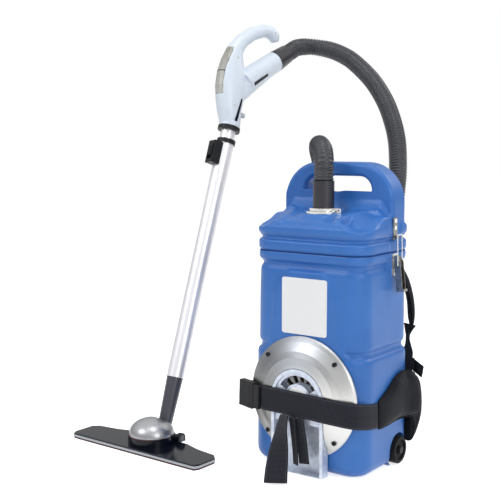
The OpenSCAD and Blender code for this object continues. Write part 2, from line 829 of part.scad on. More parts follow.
module latch_bail() {
    leg = lever_half + wire_r + 0.5;
    latch_frame() translate([lever_pin[0] + slack_pin[0], 0, lever_pin[1] + slack_pin[1]]) {
        rotate([0, slack - bail_lean, 0]) {
            for (s = [-1, 1]) {
                translate([0, s * leg, 0]) {
                    cylinder(r = wire_r, h = bail_l, $fn = 24);
                    sphere(r = wire_r, $fn = 24);
                    translate([0, 0, bail_l]) sphere(r = wire_r, $fn = 24);
                }
                translate([0, s * (leg + lever_half - lever_t) / 2, 0]) {
                    across(wire_r, -(leg - lever_half + lever_t) / 2, (leg - lever_half + lever_t) / 2);
                }
            }
            translate([0, 0, bail_l]) across(wire_r, -leg, leg);
        }
    }
}
module latch_bail_right() {
    color("gainsboro") latch_bail();
}
module latch_bail_left() {
    color("gainsboro") mirror([1, 0, 0]) latch_bail();
}

// ================================================================ wheels
module wheel() {
    translate([wheel_x + wheel_w / 2, wheel_y, wheel_d / 2]) rotate([0, -90, 0]) difference() {
        union() {
            cylinder(r = wheel_d / 2 - 2, h = wheel_w, $fn = 96);
            translate([0, 0, 2]) cylinder(r = wheel_d / 2, h = wheel_w - 4, $fn = 96);
        }
        translate([0, 0, -1]) cylinder(r = axle_d / 2 + run, h = wheel_w + 2, $fn = 48);
        for (z = [-1, wheel_w - 4]) {
            translate([0, 0, z]) difference() {
                cylinder(r = wheel_d / 2 - 7, h = 5, $fn = 64);
                translate([0, 0, -1]) cylinder(r = axle_d / 2 + 5, h = 7, $fn = 48);
            }
        }
    }
}
module wheel_right() {
    color("dimgray") wheel();
}
module wheel_left() {
    color("dimgray") mirror([1, 0, 0]) wheel();
}
module wheel_bracket() {
    out = wheel_x + wheel_w / 2 + gap;
    translate([well_x, wheel_y, wheel_d / 2]) rotate([0, 90, 0]) {
        cylinder(r = 20, h = cheek_t, $fn = 64);
        cylinder(r = axle_d / 2 + 4, h = wheel_x - wheel_w / 2 - gap - well_x, $fn = 48);
        cylinder(r = axle_d / 2, h = out + 2 - well_x, $fn = 48);
        translate([0, 0, out - well_x]) cylinder(r = axle_d / 2 + 3, h = 2.5, $fn = 48);
    }
}
module wheel_brackets() {
    color("gray") both_sides() wheel_bracket();
}

// ================================================================ harness
back_y = body_d / 2 + gap;
module back_pad() {
    color("dimgray") pad(function(u, v, w)
        [(u - 0.5) * pad_w * (0.97 + 0.03 * wave(v)), back_y + (w > 0 ? pad_t * crown(u, v) : 0),
            pad_z[0] + v * (pad_z[1] - pad_z[0])], 12, 16);
}
// The padded part of a shoulder strap, bowed back off the tank
rear = body_d / 2;
shoulder_line = curve([[46, rear + 12, 422], [62, rear + 24, 411], [86, 143, 375], [101, 150, 330],
    [106, 148, 285], [104, 143, 258]], 3);
shoulder_way = ways(shoulder_line);
module shoulder_pad() {
    n = len(shoulder_line) - 1;
    pad(function(u, v, w)
        let (i = round(u * n), t = shoulder_way[i], a = square_to([-0.5, 0.87, 0], t), b = cross(t, a))
        shoulder_line[i] + a * (v - 0.5) * shoulder_w * (0.7 + 0.3 * wave(u))
            + b * w * shoulder_t / 2 * crown(u, v),
        n, 6);
}
module shoulder_pad_right() {
    color("dimgray") shoulder_pad();
}
module shoulder_pad_left() {
    color("dimgray") mirror([1, 0, 0]) shoulder_pad();
}
// The webbing under the pad, turned edge-on halfway and flat again under its slider, and the tab
// that holds the top of the pad to the tank's back
module shoulder_webs() {
    route = curve([[104, 142.6, 257], [104.5, 137.5, 240], [107.5, rear + 23.5, 222],
        [109.2, rear + 18.2, 206], [109.2, rear + 18.2, 180], [107, rear + 14.5, 170.4]], 3);
    n = len(route) - 1;
    turn = [for (i = [0:n]) let (a = 30 + 27 * wave(min(1, 1.67 * i / n))) [cos(a), -sin(a), 0]];
    tab = [[34, rear - 2.2, 384], [34, rear - 2.2, 402], [34.8, rear + 0.4, 414.5],
        [37, rear + 5.4, 422.5], [40.2, rear + 9.2, 425.7], [43.7, rear + 10.7, 423.5]];
    tab_turn = [for (i = [0:5]) let (a = 49 * ease((i - 1) / 4)) [cos(a), -sin(a), 0]];
    color("black") both_sides() {
        strap(route, turn, web_w - 6, web_t);
        strap(tab, tab_turn, web_w / 2, web_t);
    }
}
module strap_sliders() {
    color("black") both_sides() translate([111.3, rear + 21.8, 191]) rotate([0, 0, -30]) {
        cube([44, 5, 26], center = true);
        translate([36, 1.2, -6]) rotate([0, 14, 0]) cube([32, web_t, 26], center = true);
    }
}
// A hip wing: u runs from its front end along the side and round the rear corner
hip_bend = 0.4;
hip_front = -48;
function ease(t) = let (x = min(max(t, 0), 1)) x * x * (3 - 2 * x);
function hip_low(a) = mix(92, 26, ease((a - 15) / 35)) + 22 * ease((a - 62) / 20);
function hip_high(u) = mix(152, 194, ease(u / 0.35)) - 26 * ease((u - 0.4) / 0.4);
function hip_place(u, v, w) =
    let (a = 80 * max(0, (u - hip_bend) / (1 - hip_bend)),
        c = [body_w / 2, body_d / 2] - [corner_r, corner_r],
        y = mix(hip_front, c[1], min(u / hip_bend, 1)), low = hip_low(a), high = hip_high(u),
        r = corner_r + 2 * gap + hip_off * ease((u - 0.3) / 0.3) * (1 - 0.7 * ease((u - 0.75) / 0.25))
            + (w > 0 ? hip_t * crown(u, v) : 0))
    [c[0] + r * cos(a), y + r * sin(a), low + v * (high - low)];
module hip_pad_right() {
    color("dimgray") pad(function(u, v, w) hip_place(u, v, w), 16, 8);
}
module hip_pad_left() {
    color("dimgray") mirror([1, 0, 0]) pad(function(u, v, w) hip_place(u, v, w), 16, 8);
}
belt_side = max(body_w / 2, cover_r + 10);
belt_front = front_y - cover_out - 3.5;
belt_right = [[belt_side + 2.9, -49, 122], [belt_side + 2.7, -58, 122],
    [belt_side + 0.6, front_y + 26, 125], [belt_side - 4, front_y + 6, 129],
    [belt_side - 9.2, front_y - 6.6, 131.5], [114, front_y - 14.8, 133.5], [98, front_y - 22.9, 136],
    [62, belt_front, 138.5], [0, belt_front, 141], [-62, belt_front, 142],
    [50.2 - belt_side, belt_front + 0.2, 142]];
belt_left = [[-belt_side - 11.2, front_y - 13.1, 139], [-belt_side - 13.8, front_y - 9.4, 139],
    [-belt_side - 15.6, front_y - 2, 138], [-belt_side - 15.2, front_y + 10, 135],
    [-belt_side - 10.6, front_y + 36, 129], [-belt_side - 5.4, -56, 125], [-belt_side - 3.3, -49.3, 125]];
module waist_belt() {
    color("black") {
        strap(belt_right, [[0, 0, 1]], web_w, web_t);
        strap(belt_left, [[0, 0, 1]], web_w, web_t);
    }
}
module belt_tails() {
    color("black") {
        strap([[-31, belt_front - 2.5, 117], [-29, belt_front - 12.5, 94], [-20, belt_front - 32.5, 58],
            [-8, belt_front - 54.5, 24], [3, belt_front - 73.5, 4]],
            [[0.85, -0.3, 0.1], [0.9, -0.2, 0.05], [0.95, 0, 0], [0.93, 0.25, 0], [0.88, 0.48, 0]],
            web_w - 5, web_t);
        strap([[8, belt_front - 2.5, 115], [14, belt_front - 4.5, 92], [21, belt_front - 6.5, 60],
            [26, belt_front - 7.5, 28]], [[0.98, -0.1, 0.15]], web_w * 0.5, web_t);
    }
}
module buckle_frame() {
    translate([19 - belt_side, front_y - 21.5, 142]) rotate([0, 0, -15.5]) rotate([0, 2, 0]) children();
}
module buckle_socket() {
    color("black") buckle_frame() translate([-29.5, -7, -27]) cube([34, 14, 54]);
}
module buckle_tongue() {
    color("black") buckle_frame() {
        translate([4.5, -7, -27]) cube([8, 14, 54]);
        translate([12.5, -5, -24]) cube([17, 10, 48]);
    }
}

// ================================================================ wand
module tube(z0, z1, r, w) {
    translate([0, 0, z0]) difference() {
        cylinder(r = r, h = z1 - z0, $fn = 96);
        translate([0, 0, -1]) cylinder(r = r - w, h = z1 - z0 + 2, $fn = 96);
    }
}
module outer_tube() {
    color("gainsboro") wand_frame() tube(neck_l, tube_top, tube_r, tube_wall);
}
module inner_tube() {
    color("gainsboro") wand_frame() tube(inner_bottom, grip_z + socket_l, inner_r, tube_wall);
}
module tube_collar() {
    color("black") wand_frame() {
        tube(tube_top - 6, tube_top + 4, tube_r + 2.5, 2.5);
        tube(tube_top, tube_top + 4, tube_r + 2.5, 2.5 + tube_wall);
    }
}
module slider_body() {
    color("black") grip_frame() difference() {
        union() {
            translate([-13, -tube_r - slider_d, tube_top - slider_l - 8]) cube([26, slider_d + 8, slider_l]);
            translate([-8, -tube_r - 6, tube_top - 10]) cube([16, 6 + 3, 4]);
        }
        translate([0, 0, tube_top - slider_l - 10]) cylinder(r = tube_r + run, h = slider_l + 20, $fn = 96);
        translate([-9, -tube_r - slider_d - 1, tube_top - slider_l]) cube([18, 6, slider_l - 14]);
    }
}
module slider_button() {
    color("dimgray") grip_frame() translate([-8.5, -tube_r - slider_d - 2, tube_top - slider_l + 9]) {
        cube([17, 6.7, slider_l - 24]);
        for (k = [0:3]) {
            translate([1, -1.2, 3 + k * 5]) cube([15, 1.5, 2]);
        }
    }
}

// ================================================================ grip
// Centre line of the handle: [y, z above the ring, half depth, half width]
grip_line = [[-0.5, -15, 26, 26], [-1, 0, 24.5, 24.5], [-4, 12, 26, 26], [-10, 30, 29.5, 27],
    [-15, 54, 35, 27.5], [-18.5, 82, 40, 27],
    [-25, 114, 36.5, 25], [-29, 142, 29, 22], [-29.5, 170, 20, 19], [-17, 198, 17, 17], [7, 226, 16, 16.5],
    [34, 245, 15.5, 16.5], [55, 250, 15.5, 16], [69, 243, 14.5, 14], [75, 233, 9, 9]];
module grip_form() {
    loft([for (p = grip_line) [p[0], p[1] + grip_z, p[2], p[3]]]);
    translate(spigot_at) rotate([-spigot_tilt, 0, 0]) {
        cylinder(r1 = spigot_r + 3, r2 = spigot_r, h = spigot_l, $fn = 64);
    }
    hull() {
        translate(spigot_at) rotate([-spigot_tilt, 0, 0]) translate([0, 0, 62]) {
            cylinder(r = spigot_r + 0.5, h = 14, $fn = 64);
        }
        translate([0, -4, grip_z + 54]) cylinder(r = 19, h = 16, $fn = 64);
    }
}
module grip_pockets() {
    translate([0, 0, grip_z - grip_foot - 1]) {
        cylinder(r = inner_r + run, h = socket_l + grip_foot + 1, $fn = 96);
    }
    translate([-40, -40, grip_z - grip_foot - 20]) cube([80, 80, 20]);
    translate(spigot_at) rotate([-spigot_tilt, 0, 0]) {
        translate([0, 0, 20]) cylinder(r = inner_r - 1, h = spigot_l, $fn = 64);
    }
    translate([0, 0, grip_z + socket_l]) cylinder(r = inner_r - 1, h = 70, $fn = 64);
    window_box(0);
    inlay_boxes(0);
    translate([0, 6, grip_z + button_up]) rotate([-90, 0, 0]) cylinder(r = button_r + gap, h = 40, $fn = 32);
    screw_places() cylinder(r = screw_head + run, h = 4, $fn = 24);
}
module window_box(slip) {
    translate([-15 + slip, -80, grip_z + 56 + slip]) cube([30 - 2 * slip, 80 - 42, 114 - 2 * slip]);
}
module inlay_boxes(slip) {
    for (s = [-1, 1]) {
        translate([s * 30, 2, grip_z + 31]) rotate([-6, 0, 0]) {
            cube([17, 7 - 2 * slip, 56 - 2 * slip], center = true);
        }
        translate([s * 30, 44.5, grip_z + 121.5]) rotate([-spigot_tilt, 0, 0]) {
            cube([17, 8 - 2 * slip, 48 - 2 * slip], center = true);
        }
    }
}
module grip_half(side) {
    grip_frame() difference() {
        grip_form();
        grip_pockets();
        translate([side > 0 ? -200 : 0, -200, 0]) cube([200, 500, 2000]);
    }
}
module grip_right() {
    color("lightsteelblue") grip_half(1);
}
module grip_left() {
    color("lightsteelblue") grip_half(-1);
}
module grip_window() {
    color("lightgray") grip_frame() intersection() {
        loft([for (p = grip_line) [p[0], p[1] + grip_z, p[2], p[3]]]);
        window_box(0.1);
    }
}
module grip_inlays() {
    color("dimgray") grip_frame() intersection() {
        grip_form();
        inlay_boxes(0.1);
    }
}
module screw_places() {
    for (p = screw_spots) {
        translate([p[2], p[0], grip_z + p[1]]) rotate([0, 90, 0]) children();
    }
}
module grip_screws() {
    color("gray") grip_frame() screw_places() cylinder(r = screw_head, h = 1.5, $fn = 24);
}
module grip_ring() {
    color("black") wand_frame() tube(ring_z, ring_z + ring_h, inner_r + 8.5, 8.5);
}
module grip_button() {
    color("gainsboro") grip_frame() translate([0, 13, grip_z + button_up]) rotate([-90, 0, 0]) {
        cylinder(r = button_r, h = 19, $fn = 32);
    }
}

// ================================================================ nozzle
module nozzle_neck() {
    color("dimgray") wand_frame() {
        difference() {
            union() {
                translate([0, 0, 26]) cylinder(r1 = 15, r2 = tube_r - 1, h = neck_l - 26, $fn = 96);
                translate([0, 0, neck_l - 1]) cylinder(r = inner_r, h = neck_plug + 1, $fn = 96);
                hull() {
                    rotate([0, 90, 0]) cylinder(r = trunnion_r, h = 20, center = true, $fn = 64);
                    translate([0, 0, 25]) cylinder(r = 15, h = 2, $fn = 64);
                }
            }
            translate([0, 0, 30]) cylinder(r = 11, h = neck_l + neck_plug, $fn = 64);
        }
    }
    color("dimgray") translate([wand_at[0], wand_at[1], wand_at[2]]) rotate([0, 90, 0]) {
        cylinder(r = trunnion_r, h = 2 * (lug_x + lug_t + 1), center = true, $fn = 64);
    }
}
// Room for the neck and its cross bar
module neck_way() {
    translate([wand_at[0] - neck_half, wand_at[1] - neck_half - 1, -1]) cube([2 * neck_half, 80, 100]);
    translate([wand_at[0], wand_at[1], wand_at[2]]) rotate([0, 90, 0]) {
        cylinder(r = trunnion_r + 1, h = 2 * lug_x, center = true, $fn = 64);
    }
    translate([wand_at[0] - lug_x, wand_at[1] - trunnion_r - 1, -1]) cube([2 * lug_x, 80, wand_at[2] + 1]);
}
module nozzle_dome() {
    color("silver") difference() {
        translate([dome_at[0], dome_at[1], dome_z]) {
            difference() {
                scale([1, 1, dome_h / dome_r]) sphere(r = dome_r, $fn = 96);
                scale([1, 1, (dome_h - 2.5) / (dome_r - 2.5)]) sphere(r = dome_r - 2.5, $fn = 96);
                translate([-100, -100, -100]) cube([200, 200, 100]);
            }
        }
        neck_way();
    }
}
module dome_seal() {
    low = nozzle_h + gap;
    color("maroon") difference() {
        union() {
            difference() {
                translate([dome_at[0], dome_at[1], low]) {
                    cylinder(r = dome_r + 1.5, h = dome_z - low, $fn = 96);
                }
                translate([dome_at[0], dome_at[1], 0]) cylinder(r = dome_r - 6, h = 100, $fn = 96);
            }
            translate([wand_at[0] - lug_x - lug_t, wand_at[1] - trunnion_r - 4, low]) {
                cube([2 * (lug_x + lug_t), trunnion_r + 4, 10]);
            }
            for (s = [-1, 1]) {
                lug_rod(s, trunnion_r + 4);
                translate([wand_at[0] + s * (lug_x + lug_t / 2), wand_at[1], (wand_at[2] + low) / 2]) {
                    cube([lug_t, 2 * trunnion_r + 8, wand_at[2] - low], center = true);
                }
            }
        }
        neck_way();
        for (s = [-1, 1]) {
            lug_rod(s, trunnion_r + run);
        }
        translate([wand_at[0] - 100, wand_at[1] - 100, low - 20]) cube([200, 200, 20]);
    }
}
module lug_rod(s, r) {
    translate([wand_at[0] + s * (lug_x + lug_t / 2), wand_at[1], wand_at[2]]) rotate([0, 90, 0]) {
        cylinder(r = r, h = lug_t, center = true, $fn = 64);
    }
}
// The plate's own frame, turned a little about the dome
module nozzle_frame() {
    translate([dome_at[0], dome_at[1], 0]) rotate([0, 0, nozzle_yaw]) {
        translate([nozzle_at[0] - dome_at[0], nozzle_at[1] - dome_at[1], 0]) children();
    }
}
module plate_outline(e) {
    w = nozzle_l / 2 - e;
    d = nozzle_w / 2 - e;
    c = 12;
    polygon([[c * 0.5 - w, -d], [w - c * 0.5, -d], [w, c - d], [w, d - c], [w - c, d],
        [w - 62, d + bulge * 0.35], [w - 104, d + bulge], [104 - w, d + bulge], [62 - w, d + bulge * 0.35],
        [c - w, d], [-w, d - c], [-w, c - d]]);
}
module nozzle_top() {
    color("dimgray") nozzle_frame() translate([0, 0, sole_t]) {
        difference() {
            union() {
                linear_extrude(nozzle_h - sole_t) plate_outline(bumper_t);
                translate([0, 0, band_h]) linear_extrude(nozzle_h - sole_t - band_h) plate_outline(0.6);
            }
            translate([-nozzle_l / 2 + 30, -6, -1]) cube([nozzle_l - 60, 30, 5]);
            translate([dome_at[0] - nozzle_at[0], dome_at[1] - nozzle_at[1], -1]) {
                cylinder(r = 16, h = 20, $fn = 64);
            }
        }
    }
}
module nozzle_bumper() {
    color("lightgray") nozzle_frame() translate([0, 0, sole_t]) difference() {
        linear_extrude(band_h - 0.1) plate_outline(0);
        translate([0, 0, -1]) linear_extrude(20) plate_outline(bumper_t);
    }
}
module nozzle_sole() {
    color("maroon") nozzle_frame() difference() {
        linear_extrude(sole_t) plate_outline(1);
        translate([-nozzle_l / 2 + 30, -6, -1]) cube([nozzle_l - 60, 30, 10]);
    }
}

// ================================================================ hose
hose_r = hose_d / 2;
hose_low_line = [[0, -36, 575.3], [0, -36, 597], [-1, -35, 614], [-12, -21, 633], [-33, 4, 643],
    [-58, 38, 644], [-79, 72, 632], [-91, 101, 606], [-99, 118, 560], [-106, 133, 505], [-112, 147, 450],
    [-118, 162, 390], [-121, 173, 330], [-121, 179, 270], [-120, 183, 205], [-118.5, 185, 140],
    [-116, 186, 82], [-108, 186, 54], [-89, 186, 32.5], [-63, 185.6, 24], [-52, 185.3, 24], [-41, 185, 24]];
hose_up_line = [[-41, 185, 24], [-30, 184.7, 24], [-19, 184.4, 24], [7, 184, 32.5], [26, 183, 54],
    [34, 182, 82], [37, 181, 140], [38, 181, 205], [38, 181, 290], [37, 184, 370], [34, 196, 439],
    [29, 210, 493], [26, 230, 568], [19, 244, 612], [7, 260, 656], [-14, 277, 700], [-46, 299, 746],
    [-96, 328, 795], [-160, 357, 840], [-197, 364, 860], [-227, 364, 872], [-251, 360, 878],
    [-271, 351, 881.5], [-285.5, 336, 882], [-295.1, 312.2, 878], [-299.3, 297, 869.6],
    [-303.4, 281.3, 861]];
module ribbed(line, ribs) {
    p = curve(line, 8);
    total = lengths(p)[len(p) - 1];
    s = [for (i = [0:2 * ribs]) total * i / (2 * ribs)];
    s_in = [for (i = [0:2 * ribs / bore_skip]) total * i / floor(2 * ribs / bore_skip)];
    radii = [for (i = [0:2 * ribs]) hose_r - (i % 2 == 0 ? rib_h : 0)];
    color("dimgray") pipe(p, s, radii, s_in, hose_bore / 2, [0.31, 0.95, 0]);
}
module hose_low() {
    ribbed(hose_low_line, ribs_low);
}
module hose_up() {
    ribbed(hose_up_line, ribs_up);
}
module hose_cuff_lid() {
    color("black") translate([0, inlet_y, deck_top + 2]) difference() {
        cylinder(r = cuff_r, h = cuff_top - deck_top - 2, $fn = 96);
        translate([0, 0, -1]) cylinder(r = hose_bore / 2, h = 100, $fn = 96);
    }
}
module hose_cuff_grip() {
    color("black") grip_frame() translate(spigot_at) rotate([-spigot_tilt, 0, 0]) difference() {
        translate([0, 0, spigot_l]) {
            cylinder(r1 = cuff_grip_r, r2 = cuff_grip_r - 3, h = cuff_grip_l, $fn = 96);
        }
        translate([0, 0, spigot_l - 1]) cylinder(r = hose_bore / 2, h = cuff_grip_l + 2, $fn = 96);
    }
}

tank_shell();
lid_shell();
lid_gasket();
inlet_flange();
inlet_pipe();
dust_bag();
filter_disc();
motor_deck();
motor_casing();
fan_rotor();
motor_bearings();
motor_cover();
cover_screws();
motor_stand();
stand_cap();
blank_plate();
power_inlet();
latch_plates();
latch_keepers();
latch_rivets();
latch_lever_right();
latch_lever_left();
latch_bail_right();
latch_bail_left();
wheel_right();
wheel_left();
wheel_brackets();
back_pad();
shoulder_pad_right();
shoulder_pad_left();
shoulder_webs();
strap_sliders();
hip_pad_right();
hip_pad_left();
waist_belt();
belt_tails();
buckle_socket();
buckle_tongue();
outer_tube();
tube_collar();
slider_body();
slider_button();
inner_tube();
grip_right();
grip_left();
grip_window();
grip_inlays();
grip_screws();
grip_ring();
grip_button();
nozzle_neck();
nozzle_dome();
dome_seal();
nozzle_top();
nozzle_bumper();
nozzle_sole();
hose_low();
hose_up();
hose_cuff_lid();
hose_cuff_grip();
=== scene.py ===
# %% [markdown]
# # A backpack vacuum cleaner in Blender
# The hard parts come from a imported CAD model, which is loaded as a fixed frame. This script dresses
# them: it makes soft moulded skins, padding, webbing and hose, and gives every surface a finish.
# Lengths are in metres, Z is up, and the machine's front looks along -Y.

# %% Load the frame
import math

import bmesh
import bpy
import numpy as np
from mathutils import Matrix, Vector


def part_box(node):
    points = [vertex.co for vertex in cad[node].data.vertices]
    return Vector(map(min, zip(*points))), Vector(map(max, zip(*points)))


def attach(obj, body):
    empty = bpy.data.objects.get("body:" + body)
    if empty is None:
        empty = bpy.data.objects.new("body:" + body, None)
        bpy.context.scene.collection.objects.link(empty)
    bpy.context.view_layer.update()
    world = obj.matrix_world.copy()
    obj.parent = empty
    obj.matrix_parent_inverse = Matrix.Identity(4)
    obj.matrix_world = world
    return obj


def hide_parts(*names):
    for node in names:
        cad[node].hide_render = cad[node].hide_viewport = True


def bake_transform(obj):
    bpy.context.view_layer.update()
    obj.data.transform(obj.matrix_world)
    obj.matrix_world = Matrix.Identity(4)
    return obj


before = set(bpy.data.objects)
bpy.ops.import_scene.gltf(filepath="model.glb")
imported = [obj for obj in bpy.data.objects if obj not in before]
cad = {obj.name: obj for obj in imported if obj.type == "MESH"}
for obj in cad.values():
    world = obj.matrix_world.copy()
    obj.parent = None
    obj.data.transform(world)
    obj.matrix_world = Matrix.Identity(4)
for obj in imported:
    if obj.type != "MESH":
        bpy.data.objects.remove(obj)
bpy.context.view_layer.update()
print("CAD nodes:", len(cad))

# %% [markdown]
# ## Camera, floor and light
# Catalogue goods stand on a pale paper sweep under big soft lamps. A long lens about two metres
# away keeps uprights nearly parallel. The floor is a plain disc whose colour comes out
# white, while the lamps stay low enough that a colour renders about as it is written. Mirror-like
# rays see a sweep that darkens towards the floor, so that glossy black and steel keep their contrast.

# %% Colours
def colour(code):
    """An sRGB hex code as the linear colour that shaders expect."""
    parts = [int(code[i : i + 2], 16) / 255 for i in (1, 3, 5)]
    return [c / 12.92 if c <= 0.04045 else ((c + 0.055) / 1.055) ** 2.4 for c in parts] + [1.0]


def add(tree, kind, links=None, values=None, **settings):
    """Adds one node, with its settings, its plain values and its incoming links."""
    made = tree.nodes.new(kind)
    for key, value in settings.items():
        setattr(made, key, value)
    for key, value in (values or {}).items():
        made.inputs[key].default_value = value
    for key, source in (links or {}).items():
        tree.links.new(source, made.inputs[key])
    return made


# %% Camera
eye = bpy.data.cameras.new("eye")
eye.lens, eye.sensor_width = 68.5, 36
camera = bpy.data.objects.new("eye", eye)
camera.location = (0.995, -1.655, 0.652)
camera.rotation_euler = (math.radians(83.5), 0, math.radians(36))
bpy.context.collection.objects.link(camera)
bpy.context.scene.camera = camera
bpy.context.scene.view_settings.view_transform = "Standard"

# %% Floor and backdrop
ground = bmesh.new()
bmesh.ops.create_circle(ground, cap_ends=True, segments=96, radius=14)
floor_mesh = bpy.data.meshes.new("floor")
ground.to_mesh(floor_mesh)
ground.free()
floor = bpy.data.objects.new("floor", floor_mesh)
floor.location.z = -0.0005
bpy.context.collection.objects.link(floor)

paper = bpy.data.materials.new("white paper sweep")
paper.use_nodes = True
tree = paper.node_tree
shader = tree.nodes["Principled BSDF"]
shader.inputs["Base Color"].default_value = colour("#F4F4F4")
shader.inputs["Roughness"].default_value = 0.9
shader.inputs["Specular IOR Level"].default_value = 0.0
rays = add(tree, "ShaderNodeLightPath")
white = add(tree, "ShaderNodeEmission", values={"Color": (1, 1, 1, 1), "Strength": 0.68})
seen = add(tree, "ShaderNodeMath", {0: rays.outputs["Is Camera Ray"], 1: rays.outputs["Is Glossy Ray"]},
           operation="MAXIMUM")
both = add(tree, "ShaderNodeAddShader", {0: shader.outputs[0], 1: white.outputs[0]})
mix = add(tree, "ShaderNodeMixShader", {0: seen.outputs[0], 1: shader.outputs[0], 2: both.outputs[0]})
tree.links.new(mix.outputs[0], tree.nodes["Material Output"].inputs[0])
floor.data.materials.append(paper)

world = bpy.data.worlds.new("studio")
bpy.context.scene.world = world
world.use_nodes = True
tree = world.node_tree
rays = add(tree, "ShaderNodeLightPath")
seen = add(tree, "ShaderNodeMath", {0: rays.outputs["Is Camera Ray"], 1: rays.outputs["Is Glossy Ray"]},
           operation="MAXIMUM")
seen = add(tree, "ShaderNodeMath", {0: seen.outputs[0], 1: rays.outputs["Is Transmission Ray"]},
           operation="MAXIMUM")
dim = tree.nodes["Background"]
dim.inputs[0].default_value = (1, 1, 1, 1)
dim.inputs[1].default_value = 0.45
bright = add(tree, "ShaderNodeBackground", values={0: (1, 1, 1, 1), 1: 1.0})
toward = add(tree, "ShaderNodeSeparateXYZ", {0: add(tree, "ShaderNodeTexCoord").outputs["Generated"]})
lift = add(tree, "ShaderNodeMapRange", {0: toward.outputs["Z"]}, {1: 0.0, 2: 0.75, 3: 0.32, 4: 1.15})
sweep_light = add(tree, "ShaderNodeBackground", {1: lift.outputs[0]}, {0: (1, 1, 1, 1)})
seen_world = add(tree, "ShaderNodeMixShader", {0: rays.outputs["Is Glossy Ray"], 1: bright.outputs[0],
                                               2: sweep_light.outputs[0]})
mix = add(tree, "ShaderNodeMixShader", {0: seen.outputs[0], 1: dim.outputs[0], 2: seen_world.outputs[0]})
tree.links.new(mix.outputs[0], tree.nodes["World Output"].inputs[0])

# %% Lamps
for name, place, aim, size, power in [
    ("key", (-1.3, -2.2, 2.3), (0.0, 0.0, 0.35), 1.6, 24),
    ("fill", (2.6, -1.2, 1.4), (0.0, 0.0, 0.35), 1.6, 25),
    ("top", (0.3, -0.5, 2.6), (0.0, 0.0, 0.4), 1.0, 14),
    ("rim", (1.2, 2.0, 2.2), (0.0, 0.0, 0.4), 1.4, 16),
]:
    lamp = bpy.data.lights.new(name, "AREA")
    lamp.shape, lamp.size, lamp.energy = "DISK", size, power
    light = bpy.data.objects.new(name, lamp)
    light.location = place
    light.rotation_euler = (Vector(aim) - Vector(place)).to_track_quat("-Z", "Y").to_euler()
    bpy.context.collection.objects.link(light)

# %% [markdown]
# ## The hose
# The hose is corrugated PVC: a thin tube blown into rings about 6 mm apart, so that it bends without
# folding. One ring of vertices is extruded along the route, wide on a rib and narrow between
# ribs. The route is the one that the CAD solids follow, cut in two at the hidden bottom of its bend,
# because one end goes with the lid and the other with the handle.

# %% Route of the hose
low_route = [(0, -36, 575.3), (0, -36, 597), (-1, -35, 614), (-12, -21, 633), (-33, 4, 643),
             (-58, 38, 644), (-79, 72, 632), (-91, 101, 606), (-99, 118, 560), (-106, 133, 505),
             (-112, 147, 450), (-118, 162, 390), (-121, 173, 330), (-121, 179, 270),
             (-120, 183, 205), (-118.5, 185, 140), (-116, 186, 82), (-108, 186, 54),
             (-89, 186, 32.5), (-63, 185.6, 24), (-52, 185.3, 24), (-41, 185, 24)]
up_route = [(-41, 185, 24), (-30, 184.7, 24), (-19, 184.4, 24), (7, 184, 32.5), (26, 183, 54),
            (34, 182, 82), (37, 181, 140), (38, 181, 205), (38, 181, 290), (37, 184, 370),
            (34, 196, 439), (29, 210, 493), (26, 230, 568), (19, 244, 612), (7, 260, 656),
            (-14, 277, 700), (-46, 299, 746), (-96, 328, 795), (-160, 357, 840), (-197, 364, 860),
            (-227, 364, 872), (-251, 360, 878), (-271, 351, 881.5), (-285.5, 336, 882),
            (-295.1, 312.2, 878), (-299.3, 297, 869.6), (-303.4, 281.3, 861)]
hose_radius = 0.0205
rib_depth = 0.0022
rib_pitch = 0.0062


def smooth_route(points, steps=8):
    """A smooth curve through given points in millimetres, as a list of points in metres."""
    p = [Vector(q) / 1000 for q in points]
    out = []
    for i in range(len(p) - 1):
        a, b, c, d = p[max(i - 1, 0)], p[i], p[i + 1], p[min(i + 2, len(p) - 1)]
        for k in range(steps):
            t = k / steps
            out.append(0.5 * (2 * b + (c - a) * t + (2 * a - 5 * b + 4 * c - d) * t * t
                              + (3 * b - a - 3 * c + d) * t ** 3))
    return out + [p[-1]]


def stations(line, count):
    """Evenly spaced (point, direction) pairs along a line, and the line's length."""
    p = np.array([tuple(q) for q in line])
    run = np.concatenate([[0], np.cumsum(np.linalg.norm(np.diff(p, axis=0), axis=1))])

    def at(s):
        return np.array([np.interp(s, run, p[:, k]) for k in range(3)])

    out = []
    for s in np.linspace(0, run[-1], count):
        way = at(min(s + 0.001, run[-1])) - at(max(s - 0.001, 0))
        out.append((Vector(at(s)), Vector(way).normalized()))
    return out, float(run[-1])


def frames_along(places, first):
    """A turning-free matrix at each station, with its Z along the line."""
    side = Vector(first)
    out = []
    for point, way in places:
        side = (side - side.dot(way) * way).normalized()
        across = way.cross(side)
        out.append(Matrix((side, across, way)).transposed().to_4x4())
        out[-1].translation = point
    return out


# %% [markdown]
# Many pieces here are long and follow a line, so one helper makes a mesh object and another sweeps a
# circle along stations. Each new ring is extruded from the last one and moved to its own place.

# %% Extruding a ring along stations
def new_object(name, bm, material=None, smooth=True):
    """Makes an object at the origin from a bmesh, and frees the bmesh."""
    mesh = bpy.data.meshes.new(name)
    if smooth:
        for face in bm.faces:
            face.smooth = True
    bm.to_mesh(mesh)
    bm.free()
    obj = bpy.data.objects.new(name, mesh)
    bpy.context.collection.objects.link(obj)
    if material:
        obj.data.materials.append(material)
    return obj


